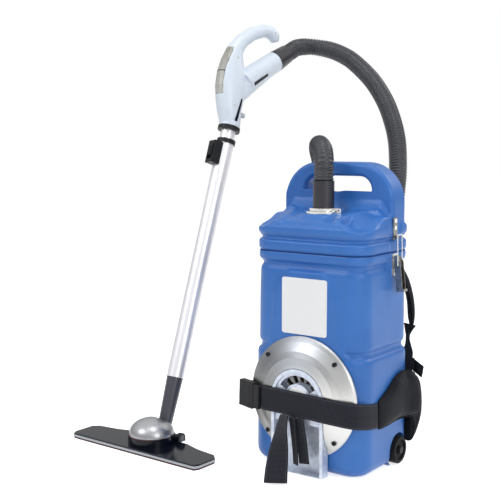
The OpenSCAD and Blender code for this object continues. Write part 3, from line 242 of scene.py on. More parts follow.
def sweep(places, radii, segments=20):
    """A closed tube: a circle extruded from station to station, with one radius for each."""
    bm = bmesh.new()
    ring = bmesh.ops.create_circle(bm, segments=segments, radius=1, cap_ends=False)["verts"]
    edges = list(bm.edges)
    bmesh.ops.transform(bm, matrix=places[0] @ Matrix.Scale(radii[0], 4), verts=ring)
    rings = [edges]
    last = places[0] @ Matrix.Scale(radii[0], 4)
    for place, radius in zip(places[1:], radii[1:]):
        out = bmesh.ops.extrude_edge_only(bm, edges=rings[-1])["geom"]
        verts = [g for g in out if isinstance(g, bmesh.types.BMVert)]
        here = place @ Matrix.Scale(radius, 4)
        bmesh.ops.transform(bm, matrix=here @ last.inverted(), verts=verts)
        rings.append([g for g in out if isinstance(g, bmesh.types.BMEdge) and
                      g.verts[0] in verts and g.verts[1] in verts])
        last = here
    for ring in (rings[0], rings[-1]):
        bmesh.ops.contextual_create(bm, geom=ring)
    bmesh.ops.recalc_face_normals(bm, faces=bm.faces)
    return bm


def ribbed_hose(name, route, first, node):
    """One length of corrugated hose, swept along a bent route."""
    line = smooth_route(route)
    _, length = stations(line, 2)
    ribs = round(length / rib_pitch)
    places, _ = stations(line, 4 * ribs + 1)
    radii = [hose_radius - rib_depth * (0, 0.75, 1, 0.75)[(i + 2) % 4] for i in range(4 * ribs + 1)]
    obj = new_object(name, sweep(frames_along(places, first), radii))
    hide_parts(node)
    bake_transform(obj)
    print(name, "is", round(length, 3), "m long with", ribs, "ribs")
    return obj


# %% [markdown]
# The upper length bends between the ground and the handle, the lower one between the lid and the
# ground.

# %% Make both lengths of the hose
hose_low = ribbed_hose("hose_to_lid", low_route, (0.31, 0.95, 0), "hose_low")
hose_up = ribbed_hose("hose_to_handle", up_route, (0.31, 0.95, 0), "hose_up")

# %% [markdown]
# ## Finishes
# Each finish starts from the real material and how its surface was made. Patterns are placed by
# Object coordinates in metres, so a noise scale of 900 has features about a millimetre across.

# %% A new material
def start_material(name, code, roughness, metallic=0.0, **plain):
    """A material with one main colour; returns it with its tree, shader and object coordinates."""
    made = bpy.data.materials.new(name)
    made.use_nodes = True
    tree = made.node_tree
    shader = tree.nodes["Principled BSDF"]
    shader.inputs["Base Color"].default_value = colour(code)
    shader.inputs["Roughness"].default_value = roughness
    shader.inputs["Metallic"].default_value = metallic
    for key, value in plain.items():
        shader.inputs[key.replace("_", " ")].default_value = value
    return made, tree, shader, add(tree, "ShaderNodeTexCoord").outputs["Object"]


# %% [markdown]
# Rotomoulded polyethylene is powder melted against a warm steel mould. It is waxy and half matt,
# with a faint orange peel and slow drifts of colour where the wall is thicker.

# %% Polyethylene
blue, tree, shader, place = start_material("rotomoulded polyethylene", "#326CB8", 0.36,
                                            Specular_IOR_Level=0.4)
drift = add(tree, "ShaderNodeTexNoise", {"Vector": place}, {"Scale": 7.0, "Detail": 3.0})
tint = add(tree, "ShaderNodeMix", {0: drift.outputs["Fac"]},
           {6: colour("#205AA8"), 7: colour("#437FCC")}, data_type="RGBA")
tree.links.new(tint.outputs[2], shader.inputs["Base Color"])
peel = add(tree, "ShaderNodeTexNoise", {"Vector": place}, {"Scale": 650.0, "Detail": 2.0})
dents = add(tree, "ShaderNodeBump", {"Height": peel.outputs["Fac"]}, {"Strength": 0.12, "Distance": 0.0004})
tree.links.new(dents.outputs[0], shader.inputs["Normal"])

# %% [markdown]
# The motor cover is spun from stainless sheet, so the polishing lines run in rings round its
# middle. Its colour also carries painted highlights and reflections, bright and dark by angle round
# its centre. The stand is folded zinc-plated sheet, bluer and cloudier.

# %% Steel sheet
spun, tree, shader, place = start_material("spun stainless steel", "#CFCFCC", 0.34, 1.0)
centred = add(tree, "ShaderNodeMapping", {"Vector": place}, {"Location": (0, 0, -0.15)})
rings = add(tree, "ShaderNodeTexWave", {"Vector": centred.outputs[0]},
            {"Scale": 260.0, "Distortion": 1.5, "Detail": 2.0}, wave_type="RINGS", rings_direction="Y")
upright = add(tree, "ShaderNodeVectorRotate", {"Vector": centred.outputs[0]},
              {"Angle": math.radians(-90)}, rotation_type="X_AXIS")
# Painted highlights and reflections: a colour ramp by angle round the cover's centre makes it bright, dark
# and bluish in set directions, in place of the sheen of brushed steel.
around = add(tree, "ShaderNodeTexGradient", {"Vector": upright.outputs[0]}, gradient_type="RADIAL")
painted_highlight_lobes = add(tree, "ShaderNodeValToRGB", {0: around.outputs["Fac"]})
painted_highlight_lobes.color_ramp.interpolation = "B_SPLINE"
for spot, code in [(0.06, "#7E7E7C"), (0.14, "#A8A8A6"), (0.26, "#7C7C7A"), (0.36, "#C4C4C2"),
                   (0.47, "#D8D8D6"), (0.56, "#CCCCCA"), (0.66, "#A6A8AA"), (0.76, "#BCC0C8"),
                   (0.86, "#8E9094")]:
    painted_highlight_lobes.color_ramp.elements.new(spot).color = colour(code)
painted_highlight_lobes.color_ramp.elements[0].color = painted_highlight_lobes.color_ramp.elements[-1].color = colour("#7F7F7C")
tree.links.new(painted_highlight_lobes.outputs[0], shader.inputs["Base Color"])
cloud = add(tree, "ShaderNodeTexNoise", {"Vector": place}, {"Scale": 16.0, "Detail": 5.0})
gloss = add(tree, "ShaderNodeMapRange", {"Value": cloud.outputs["Fac"]}, {3: 0.3, 4: 0.44})
lines = add(tree, "ShaderNodeBump", {"Height": rings.outputs["Fac"]}, {"Strength": 0.25, "Distance": 0.0002})
tree.links.new(gloss.outputs[0], shader.inputs["Roughness"])
tree.links.new(lines.outputs[0], shader.inputs["Normal"])

zinc, tree, shader, place = start_material("zinc-plated sheet", "#C4CCDA", 0.4, 0.45)
spangle = add(tree, "ShaderNodeTexVoronoi", {"Vector": place}, {"Scale": 90.0})
shade = add(tree, "ShaderNodeMix", {0: spangle.outputs["Distance"]},
            {6: colour("#BCC6DA"), 7: colour("#E2E8F2")}, data_type="RGBA")
tree.links.new(shade.outputs[2], shader.inputs["Base Color"])

bright_steel, tree, shader, place = start_material("bright-drawn steel", "#E6E5E0", 0.24, 1.0)
scuff = add(tree, "ShaderNodeTexNoise", {"Vector": place}, {"Scale": 300.0, "Detail": 4.0})
worn = add(tree, "ShaderNodeMapRange", {"Value": scuff.outputs["Fac"]}, {3: 0.16, 4: 0.36})
tree.links.new(worn.outputs[0], shader.inputs["Roughness"])

dull_nickel, tree, shader, place = start_material("dull nickel plate", "#8F8D86", 0.3, 1.0)
stain = add(tree, "ShaderNodeTexNoise", {"Vector": place}, {"Scale": 140.0, "Detail": 4.0})
patch = add(tree, "ShaderNodeMix", {0: stain.outputs["Fac"]},
            {6: colour("#55534D"), 7: colour("#C9C7BF")}, data_type="RGBA")
tree.links.new(patch.outputs[2], shader.inputs["Base Color"])

chromed, tree, shader, place = start_material("chromed casting", "#E4E3E0", 0.14, 1.0)
pits = add(tree, "ShaderNodeTexNoise", {"Vector": place}, {"Scale": 160.0, "Detail": 3.0})
soft = add(tree, "ShaderNodeBump", {"Height": pits.outputs["Fac"]}, {"Strength": 0.35, "Distance": 0.0006})
tree.links.new(soft.outputs[0], shader.inputs["Normal"])

pressed, tree, shader, place = start_material("pressed polished steel", "#A6A7AA", 0.34, 0.9)
ripple = add(tree, "ShaderNodeTexNoise", {"Vector": place}, {"Scale": 70.0, "Detail": 3.0})
waves = add(tree, "ShaderNodeBump", {"Height": ripple.outputs["Fac"]}, {"Strength": 0.4, "Distance": 0.0015})
tree.links.new(waves.outputs[0], shader.inputs["Normal"])

# %% [markdown]
# The wand's tubes are anodised aluminium: pale, a little soft, with fine lines drawn along the
# tube. The lines come from a noise that is squeezed across the tube and stretched along it.

# %% Aluminium
anodised, tree, shader, place = start_material("anodised aluminium", "#F0F0F4", 0.36, 0.5)
along = add(tree, "ShaderNodeMapping", {"Vector": place},
            {"Rotation": (math.radians(20), 0, 0), "Scale": (900, 900, 12)})
drawn = add(tree, "ShaderNodeTexNoise", {"Vector": along.outputs[0]}, {"Scale": 1.0, "Detail": 2.0})
fine = add(tree, "ShaderNodeBump", {"Height": drawn.outputs["Fac"]}, {"Strength": 0.08, "Distance": 0.0002})
tree.links.new(fine.outputs[0], shader.inputs["Normal"])

# %% [markdown]
# Most plastic here is ABS or polypropylene. A spark-eroded mould leaves a fine grain on it; where
# the mould is polished the part comes out glossy.

# %% Plastics
def grained(name, code, roughness, grain, scale=900.0, detail=2.0, relief=0.0003, **plain):
    """A material of one colour with a fine grain, such as the one that a mould leaves on plastic."""
    made, tree, shader, place = start_material(name, code, roughness, **plain)
    speck = add(tree, "ShaderNodeTexNoise", {"Vector": place}, {"Scale": scale, "Detail": detail})
    bumps = add(tree, "ShaderNodeBump", {"Height": speck.outputs["Fac"]},
                {"Strength": grain, "Distance": relief})
    tree.links.new(bumps.outputs[0], shader.inputs["Normal"])
    return made


black_plastic = grained("black polypropylene", "#191A1E", 0.45, 0.2, Specular_IOR_Level=0.25)
black_gloss = grained("polished black ABS", "#101420", 0.16, 0.02, Specular_IOR_Level=0.25)
satin_black = grained("satin black ABS", "#44454F", 0.28, 0.04, Specular_IOR_Level=0.6)
cuff_pvc = grained("dark grey PVC", "#2B2B31", 0.34, 0.06, Specular_IOR_Level=0.5)
handle_abs = grained("pale handle ABS", "#D8E2EE", 0.3, 0.04)
white_abs = grained("white ABS", "#EFF0F2", 0.35, 0.04)
grey_abs = grained("grey ABS", "#B9BEC4", 0.38, 0.06)
dark_red = grained("oxblood PVC", "#3E1216", 0.4, 0.08, Specular_IOR_Level=0.3)
tyre = grained("black rubber", "#17171A", 0.7, 0.35, 400.0, Specular_IOR_Level=0.25)
gasket_blue = grained("blue foam rubber", "#1D3E7E", 0.7, 0.3, 500.0, Specular_IOR_Level=0.2)

# %% [markdown]
# The handle's window is smoked plastic in two panes, and a dark joint line crosses it. Its colour
# also runs from lighter at the lower end to darker at the upper end along the wand's axis, which is a
# painted highlight. The dot product with that axis gives the height on the handle.

# %% Window of the handle
window_abs, tree, shader, place = start_material("smoked window ABS", "#9D9C94", 0.2)
wand_way = (0.0, math.sin(math.radians(20)), math.cos(math.radians(20)))
rise = add(tree, "ShaderNodeVectorMath", {0: place}, {1: wand_way}, operation="DOT_PRODUCT")
wand_low, wand_high = (sum(a * b for a, b in zip(corner, wand_way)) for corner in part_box("grip_window"))
middle = wand_low + 0.47 * (wand_high - wand_low)
# Painted highlight: the window's colour goes from lighter at its lower end to darker at its upper end along
# the wand's axis.
shift = add(tree, "ShaderNodeMapRange", {0: rise.outputs["Value"]}, {1: wand_low, 2: wand_high})
painted_highlight_ramp = add(tree, "ShaderNodeMix", {0: shift.outputs[0]},
           {6: colour("#B9BAB6"), 7: colour("#8E8E84")}, data_type="RGBA")
split = add(tree, "ShaderNodeMath", {0: rise.outputs["Value"]}, {1: middle, 2: 0.0016}, operation="COMPARE")
joint = add(tree, "ShaderNodeMix", {0: split.outputs[0], 6: painted_highlight_ramp.outputs[2]}, {7: colour("#4C4D48")},
            data_type="RGBA")
tree.links.new(joint.outputs[2], shader.inputs["Base Color"])

# %% [markdown]
# Soft PVC has a low sheen. Dust settles between the ribs, so a noise makes the colour uneven.

# %% Hose PVC
hose_pvc, tree, shader, place = start_material("corrugated PVC", "#2C2D33", 0.4)
dust = add(tree, "ShaderNodeTexNoise", {"Vector": place}, {"Scale": 30.0, "Detail": 4.0})
haze = add(tree, "ShaderNodeMix", {0: dust.outputs["Fac"]},
           {6: colour("#222328"), 7: colour("#3C3D44")}, data_type="RGBA")
tree.links.new(haze.outputs[2], shader.inputs["Base Color"])
for hose in (hose_low, hose_up):
    hose.data.materials.append(hose_pvc)

# %% [markdown]
# The parts inside show only when the lid is off. Paper and felt are fibrous, so their grain is deep;
# a sand casting keeps the grain of the sand under its paint; a winding shows its turns.

# %% Plain inner parts
bag_paper = grained("filter paper", "#C9B68F", 0.85, 0.4, 220.0, 5.0, 0.0006)
felt = grained("filter felt", "#DCDCD8", 0.95, 0.5, 400.0, 5.0, 0.0006)
cast_grey = grained("painted casting", "#B4B6B8", 0.45, 0.25, 500.0, 3.0, 0.0004, metallic=0.3)
copper, tree, shader, place = start_material("enamelled copper wire", "#C58A54", 0.3, 0.9)
turns = add(tree, "ShaderNodeTexWave", {"Vector": place}, {"Scale": 160.0}, bands_direction="Y")
wires = add(tree, "ShaderNodeBump", {"Height": turns.outputs["Fac"]}, {"Strength": 0.5, "Distance": 0.0006})
tree.links.new(wires.outputs[0], shader.inputs["Normal"])

# %% [markdown]
# Webbing is woven nylon tape. Its cross ribs lie about 1.5 mm apart; they are drawn at 2.5 mm here
# so that they still show from a step away. The pad cloth is a coarser nylon over foam.

# %% Woven nylon
webbing, tree, shader, place = start_material("nylon webbing", "#1C1D22", 0.8, Sheen_Weight=0.12,
                                               Specular_IOR_Level=0.15)
strip = add(tree, "ShaderNodeUVMap", uv_map="weave").outputs[0]
cross = add(tree, "ShaderNodeTexWave", {"Vector": strip}, {"Scale": 130.0, "Distortion": 0.6},
            bands_direction="X", wave_profile="SIN")
length = add(tree, "ShaderNodeTexWave", {"Vector": strip}, {"Scale": 190.0, "Distortion": 0.6},
             bands_direction="Y", wave_profile="SIN")
weave = add(tree, "ShaderNodeMath", {0: cross.outputs["Fac"], 1: length.outputs["Fac"]},
            operation="MULTIPLY")
thread = add(tree, "ShaderNodeMix", {0: weave.outputs[0]},
             {6: colour("#14151C"), 7: colour("#41434F")}, data_type="RGBA")
relief = add(tree, "ShaderNodeBump", {"Height": weave.outputs[0]}, {"Strength": 0.5, "Distance": 0.0008})
parts = add(tree, "ShaderNodeSeparateXYZ", {0: strip})
row = add(tree, "ShaderNodeMath", {0: parts.outputs["Y"]}, {1: 0.0032, 2: 0.0006}, operation="COMPARE")
pace = add(tree, "ShaderNodeMath", {0: parts.outputs["X"]}, {1: 0.0045}, operation="MODULO")
gap = add(tree, "ShaderNodeMath", {0: pace.outputs[0]}, {1: 0.003}, operation="LESS_THAN")
stitch = add(tree, "ShaderNodeMath", {0: row.outputs[0], 1: gap.outputs[0]}, operation="MULTIPLY")
sewn = add(tree, "ShaderNodeMix", {0: stitch.outputs[0], 6: thread.outputs[2]}, {7: colour("#4A4B55")},
           data_type="RGBA")
tree.links.new(sewn.outputs[2], shader.inputs["Base Color"])
tree.links.new(relief.outputs[0], shader.inputs["Normal"])

pad_cloth, tree, shader, place = start_material("padded nylon cloth", "#1E1F24", 0.85, Sheen_Weight=0.12,
                                                 Specular_IOR_Level=0.15)
warp = add(tree, "ShaderNodeTexWave", {"Vector": place}, {"Scale": 150.0, "Distortion": 0.5},
           bands_direction="Z")
weft = add(tree, "ShaderNodeTexWave", {"Vector": place}, {"Scale": 150.0, "Distortion": 0.5},
           bands_direction="DIAGONAL")
crease = add(tree, "ShaderNodeTexNoise", {"Vector": place}, {"Scale": 26.0, "Detail": 3.0})
cloth = add(tree, "ShaderNodeMath", {0: warp.outputs["Fac"], 1: weft.outputs["Fac"]},
            operation="MULTIPLY")
fade = add(tree, "ShaderNodeMix", {0: crease.outputs["Fac"]},
           {6: colour("#0E0F13"), 7: colour("#24252C")}, data_type="RGBA")
relief = add(tree, "ShaderNodeBump", {"Height": cloth.outputs[0]}, {"Strength": 0.4, "Distance": 0.0006})
tree.links.new(fade.outputs[2], shader.inputs["Base Color"])
tree.links.new(relief.outputs[0], shader.inputs["Normal"])

webbing_plain = grained("piping cord", "#101115", 0.75, 0.3, 1200.0, Specular_IOR_Level=0.15)

# %% [markdown]
# ## Giving the CAD parts their finishes
# A CAD part whose shape is already right keeps its mesh and only gets a better material.

# %% Finishes for CAD parts
finishes = {
    chromed: ["inlet_flange"],
    spun: ["motor_cover"],
    pressed: ["nozzle_dome"],
    zinc: ["motor_stand"],
    dull_nickel: ["latch_lever_right", "latch_lever_left", "latch_keepers"],
    bright_steel: ["motor_bearings", "latch_plates", "latch_rivets", "latch_bail_right", "latch_bail_left",
                   "grip_screws"],
    anodised: ["outer_tube", "inner_tube"],
    black_plastic: ["cover_screws", "power_inlet", "wheel_brackets", "buckle_socket", "buckle_tongue",
                    "tube_collar", "slider_body", "slider_button", "grip_ring", "strap_sliders"],
    satin_black: ["nozzle_neck"],
    cuff_pvc: ["hose_cuff_lid", "hose_cuff_grip"],
    black_gloss: ["grip_inlays", "nozzle_top", "dome_seal"],
    handle_abs: ["grip_right", "grip_left"],
    window_abs: ["grip_window"],
    white_abs: ["stand_cap", "blank_plate"],
    grey_abs: ["inlet_pipe", "motor_deck", "grip_button", "nozzle_bumper"],
    dark_red: ["nozzle_sole"],
    tyre: ["wheel_right", "wheel_left"],
    gasket_blue: ["lid_gasket"],
    bag_paper: ["dust_bag"],
    felt: ["filter_disc"],
    cast_grey: ["motor_casing"],
    copper: ["fan_rotor"],
    blue: ["tank_shell", "lid_shell"],
    webbing: ["shoulder_webs", "waist_belt", "belt_tails"],
    pad_cloth: ["back_pad", "shoulder_pad_right", "shoulder_pad_left", "hip_pad_right", "hip_pad_left"],
}
for finish, nodes in finishes.items():
    for name in nodes:
        slots = cad[name].material_slots
        for slot in slots:
            slot.material = finish
        if not slots:
            cad[name].data.materials.append(finish)
print("finished", sum(len(v) for v in finishes.values()), "CAD parts")

# %% [markdown]
# ## The tank
# The tank is one rotomoulded shell, so it is drawn as one skin. A rounded rectangle is bevelled from
# a plain square. Its edge is extruded up row by row to the rim, in over the rim, and down inside.
# Then every vertex moves in or out along the outline's normal, by a profile of the height.

# %% Helpers for shells
def ease(low, high, value):
    """0 below low, 1 above high, and a smooth step between them."""
    t = min(max((value - low) / (high - low), 0.0), 1.0)
    return t * t * (3 - 2 * t)


def outline_normal(x, y, width, depth, radius):
    """The outward direction of a rounded rectangle's edge near a point."""
    core_x = min(max(x, radius - width / 2), width / 2 - radius)
    core_y = min(max(y, radius - depth / 2), depth / 2 - radius)
    return Vector((x - core_x, y - core_y, 0)).normalized()


def carve(obj, tool, operation="DIFFERENCE"):
    """Applies a boolean with a tool, and deletes the tool."""
    cut = obj.modifiers.new("cut", "BOOLEAN")
    cut.object, cut.operation, cut.solver = tool, operation, "EXACT"
    apply_modifiers(obj)
    bpy.data.objects.remove(tool)


def apply_modifiers(obj):
    """Puts the result of an object's modifiers into its mesh."""
    graph = bpy.context.evaluated_depsgraph_get()
    done = bpy.data.meshes.new_from_object(obj.evaluated_get(graph))
    obj.modifiers.clear()
    obj.data = done


def crisp(obj, degrees=35):
    """Smooth faces, with sharp edges wherever two faces meet at more than an angle."""
    bm = bmesh.new()
    bm.from_mesh(obj.data)
    for face in bm.faces:
        face.smooth = True
    for edge in bm.edges:
        edge.smooth = edge.calc_face_angle(0) < math.radians(degrees)
    bm.to_mesh(obj.data)
    bm.free()


def rod(name, start, end, radius, segments=48):
    """A closed cylinder between two points."""
    bm = bmesh.new()
    way = Vector(end) - Vector(start)
    bmesh.ops.create_cone(bm, cap_ends=True, segments=segments, radius1=radius, radius2=radius,
                          depth=way.length)
    turn = way.to_track_quat("Z", "Y").to_matrix().to_4x4()
    turn.translation = (Vector(start) + Vector(end)) / 2
    bmesh.ops.transform(bm, matrix=turn, verts=bm.verts)
    return new_object(name, bm, smooth=False)


# %% Sizes of the tank
tank_low, tank_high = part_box("tank_shell")
tank_w = tank_high[0] - tank_low[0]
tank_d = tank_high[1] - tank_low[1]
corner = 0.046
wall = 0.004
latch_y = 0.024
wheel_hub = Vector((0.127, 0.046, 0.028))
well_radius = 0.035
well_depth = 0.016
cover_height = 0.15
motor_hole_radius = 0.098

# Heights in millimetres with how far the skin lies inside the belly there
profile = [(0, 26), (1, 19), (3, 13.8), (6, 9.4), (10, 5.6), (15, 2.4), (20, 0.8), (26, 0), (225, 0),
           (230, 0.7), (233, 2.4), (235.5, 6), (239, 7.6), (245, 8.2), (248, 7.6), (250.5, 5), (254, 3.8),
           (258, 3.5), (350, 4.4), (394, 5.6), (400, 6.6), (404, 8.8), (407.5, 11), (411.5, 11),
           (415, 8.4), (418, 4.8), (421.5, 3), (426, 2.6), (430, 2.6), (432.6, 2.8), (434, 3.6)]
panel_edge = [(234, 106), (239, 99), (251, 89), (272, 83), (293, 78), (352, 75), (377, 62), (397, 40)]


def tank_inset(x, y, z):
    """How far the tank's outer skin lies inside the belly's outline, all in millimetres."""
    inset = np.interp(z, *zip(*profile))
    near_latch = ease(24, 12, abs(y - 1000 * latch_y)) * ease(252, 262, z) if abs(x) > 100 else 0
    inset += (4 - inset) * near_latch * ease(434.5, 433, z)
    if y < -60:
        edge = np.interp(z, *zip(*panel_edge))
        raised = ease(edge + 4, edge - 4, abs(x)) * ease(403, 396, z) * ease(228, 236, z)
        inset += (1 - inset) * raised
    return inset


# %% The tank's skin
bm = bmesh.new()
bmesh.ops.create_grid(bm, x_segments=1, y_segments=1, size=0.5)
bmesh.ops.scale(bm, vec=(tank_w, tank_d, 1), verts=bm.verts)
bmesh.ops.bevel(bm, geom=list(bm.verts), affect="VERTICES", offset=corner, offset_type="OFFSET",
                segments=14, profile=0.5, material=-1)
bmesh.ops.delete(bm, geom=list(bm.faces), context="FACES_ONLY")
long_edges = [e for e in bm.edges if e.calc_length() > 0.05]
for edge in long_edges:
    front = edge.verts[0].co.y < 0 and edge.verts[1].co.y < 0
    bmesh.ops.subdivide_edges(bm, edges=[edge], cuts=45 if front else 19)
row = list(bm.edges)
outer_rows = [0, 1, 3, 6, 10, 15, 20, 26] + list(range(36, 225, 12))
outer_rows += [225 + 1.5 * i for i in range(23)] + [262 + 6 * i for i in range(22)]
outer_rows += [391 + 1.6 * i for i in range(26)] + [432.6, 434]
inner_rows = [434, 432, 418, 411, 404, 398, 256, 245, 233, 224, 30, 20, 10, 4]
bottom = row
where = {v: (0.0, 0.0) for v in bm.verts}
for index, z in enumerate(outer_rows[1:] + inner_rows):
    made = bmesh.ops.extrude_edge_only(bm, edges=row)["geom"]
    fresh = [g for g in made if isinstance(g, bmesh.types.BMVert)]
    edges = [g for g in made if isinstance(g, bmesh.types.BMEdge)]
    row = [e for e in edges if e.verts[0] in fresh and e.verts[1] in fresh]
    for vert in fresh:
        vert.co.z = z / 1000
        where[vert] = (z, 0.0 if index < len(outer_rows) - 1 else 1000 * wall)
for edges in (bottom, row):
    bmesh.ops.contextual_create(bm, geom=edges)
for vert, (z, inner) in where.items():
    out = outline_normal(vert.co.x, vert.co.y, tank_w, tank_d, corner)
    inset = tank_inset(1000 * vert.co.x, 1000 * vert.co.y, max(z, 1)) if z else 26
    vert.co -= out * (inset + inner) / 1000
bmesh.ops.recalc_face_normals(bm, faces=bm.faces)
tank = new_object("tank", bm, blue)

# %% [markdown]
# Each wheel stands in a well. A block is joined on inside the skin first, so that the well that is
# then cut has walls of its own. The tank's front is open behind the motor cover.

# %% Wheel wells and the hole behind the motor cover
hubs = [Vector((side * wheel_hub.x, wheel_hub.y, wheel_hub.z)) for side in (1, -1)]
outward = [Vector((side, 0, 0)) for side in (1, -1)]
for hub, out in zip(hubs, outward):
    inner = hub - out * (well_depth + wall)
    carve(tank, rod("well block", inner, hub - out * 0.001, well_radius + wall), "UNION")
for hub, out in zip(hubs, outward):
    carve(tank, rod("well", hub - out * well_depth, hub + out * 0.03, well_radius))
carve(tank, rod("ground", (0, 0, -0.03), (0, 0, 0.0002), 0.3))
carve(tank, rod("motor hole", (0, -0.12, cover_height), (0, -0.09, cover_height), motor_hole_radius, 96))
crisp(tank)
tank.data.materials.clear()
tank.data.materials.append(blue)
print("tank:", len(tank.data.polygons), "faces")
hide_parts("tank_shell")
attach(tank, "root")

# %% [markdown]
# ## The lid and the handle
# A big rotomoulded or injection-moulded part has no sharp corner. So the CAD shape is copied, merged,
# remeshed into small even squares and smoothed, which rounds every edge by a few millimetres. The
# lid then gets its scooped front corners and its fuller band by moving the vertices. The buckle
# halves and strap sliders are small mouldings, so a finer remesh rounds them by half a millimetre.

# %% Softened copies of CAD shapes
def soft_copy(name, nodes, voxel, rounds, material):
    """A merged copy of some CAD parts, remeshed and smoothed."""
    bm = bmesh.new()
    for node in nodes:
        bm.from_mesh(cad[node].data)
    bmesh.ops.remove_doubles(bm, verts=bm.verts, dist=1e-6)
    obj = new_object(name, bm)
    remesh = obj.modifiers.new("even squares", "REMESH")
    remesh.mode, remesh.voxel_size, remesh.use_smooth_shade = "VOXEL", voxel, True
    soften = obj.modifiers.new("soften", "SMOOTH")
    soften.factor, soften.iterations = 0.5, rounds
    apply_modifiers(obj)
    obj.data.materials.clear()
    obj.data.materials.append(material)
    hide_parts(*nodes)
    return obj


lid = soft_copy("lid", ["lid_shell"], 0.0022, 9, blue)
lid_w, lid_d, lid_corner = 256, 204, 42
inlet = (0, -36)
deck_rise = ([0, 8, 24], [486, 499.75, 511])
deck_height = deck_rise[1][-1]


def inside_by(x, y):
    """How far a point lies inside the lid's outline, in millimetres."""
    over_x = abs(x) - (lid_w / 2 - lid_corner)
    over_y = abs(y) - (lid_d / 2 - lid_corner)
    outer = math.hypot(max(over_x, 0), max(over_y, 0))
    return lid_corner - outer - min(max(over_x, over_y), 0)


ridge = [Vector(p).to_2d() for p in smooth_route([(60, -112, 0), (65, -92, 0), (65, -62, 0), (70, -34, 0),
                                                  (84, -14, 0), (104, -6, 0), (134, -4, 0)], 4)]


def past_ridge(x, y):
    """How far a point lies beyond the S-shaped ridge that bounds the scoop, in millimetres."""
    here = Vector((x, y)) / 1000
    best = None
    for a, b in zip(ridge, ridge[1:]):
        along = b - a
        nearest = a + along * min(max((here - a).dot(along) / along.length_squared, 0), 1)
        away = here - nearest
        if best is None or away.length < abs(best):
            best = away.length if along.cross(away) < 0 else -away.length
    return 1000 * best


def lid_top(x, y, depth):
    """Height of the deck: a slope from the arch to the front, cut by a scoop at each front corner."""
    slope = deck_height + 0.17 * (min(y, 12) - inlet[1]) + 16 * max(0, 1 - (14 - min(y, 14)) / 24) ** 2.5
    slope += (deck_height - slope) * ease(54, 41, math.hypot(x - inlet[0], y - inlet[1]))
    plain = np.interp(depth, *deck_rise)
    deck = plain + (slope - deck_height) * min(max(depth, 0) / 24, 1)
    past = past_ridge(abs(x), y)
    deck += 3.6 * math.exp(-(past / 7) ** 2) * ease(0, 8, depth)
    foot = 482 + 24 * ease(-80, -10, y) + 14 * ease(106, 70, abs(x)) * ease(-70, -90, y)
    full = ease(-75, -15, y) * ease(96, 118, abs(x)) * ease(0, 3, depth)
    deck += (max(foot + 0.1 * depth, deck) - deck) * full
    scooped = foot + 0.06 * depth + 0.0035 * depth * depth
    return deck + (min(scooped, deck) - deck) * ease(-2, 9, past) - plain


for vert in lid.data.vertices:
    x, y, z = 1000 * vert.co
    depth = inside_by(x, y)
    rise = lid_top(x, y, depth) * ease(470, 486, z)
    if y > 10:
        rise *= ease(26, 12, y) * ease(560, 526, z)
    latch_free = 1 - ease(28, 16, abs(y - 1000 * latch_y)) * ease(90, 110, abs(x))
    full = 2.2 * ease(437, 441, z) * ease(460, 453, z) + 3.2 * ease(468, 474, z) * ease(494, 484, z)
    full *= ease(3.6, 2.2, depth) * latch_free
    out = outline_normal(x, y, lid_w, lid_d, lid_corner)
    vert.co = Vector((x + out.x * full, y + out.y * full, z + rise)) / 1000
settle = lid.modifiers.new("settle", "SMOOTH")
settle.factor, settle.iterations = 0.4, 2
apply_modifiers(lid)
print("lid:", len(lid.data.polygons), "faces")
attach(lid, "lid")

handle = soft_copy("handle", ["grip_right", "grip_left"], 0.0015, 8, handle_abs)
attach(handle, "grip")

for name in ("buckle_socket", "buckle_tongue", "strap_sliders"):
    fastener = soft_copy(name + "_moulded", [name], 0.0009, 5, black_plastic)
    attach(fastener, "root")

# %% [markdown]
# A thin oxblood ring closes the gap under the floor nozzle's dome.

# %% Ring under the dome
dome_low, dome_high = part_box("nozzle_dome")
dome_foot = (dome_low + dome_high) / 2
dome_foot.z = dome_low.z
ring_radius = (dome_high.x - dome_low.x) / 2 + 0.0006
dome_ring = rod("dome_ring", dome_foot - Vector((0, 0, 0.0011)), dome_foot + Vector((0, 0, 0.0007)),
                ring_radius, 96)
dome_ring.data.materials.append(dark_red)
crisp(dome_ring)
print("ring under the dome:", round(2000 * ring_radius, 1), "mm across")
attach(dome_ring, "turret")

# %% [markdown]
# ## Padding
# A foam pad is cut flat, wrapped in cloth and sewn shut, so it bulges and its cloth puckers. The CAD
# pad is remeshed a little smaller, blown up by a cloth simulation, and held back from swelling more
# than a few millimetres, or towards the tank that it rests on. Piping then runs round its edge.

# %% A pad filled with foam
def wave(t):
    """Half a sine wave over 0 to 1."""
    return math.sin(math.pi * t)


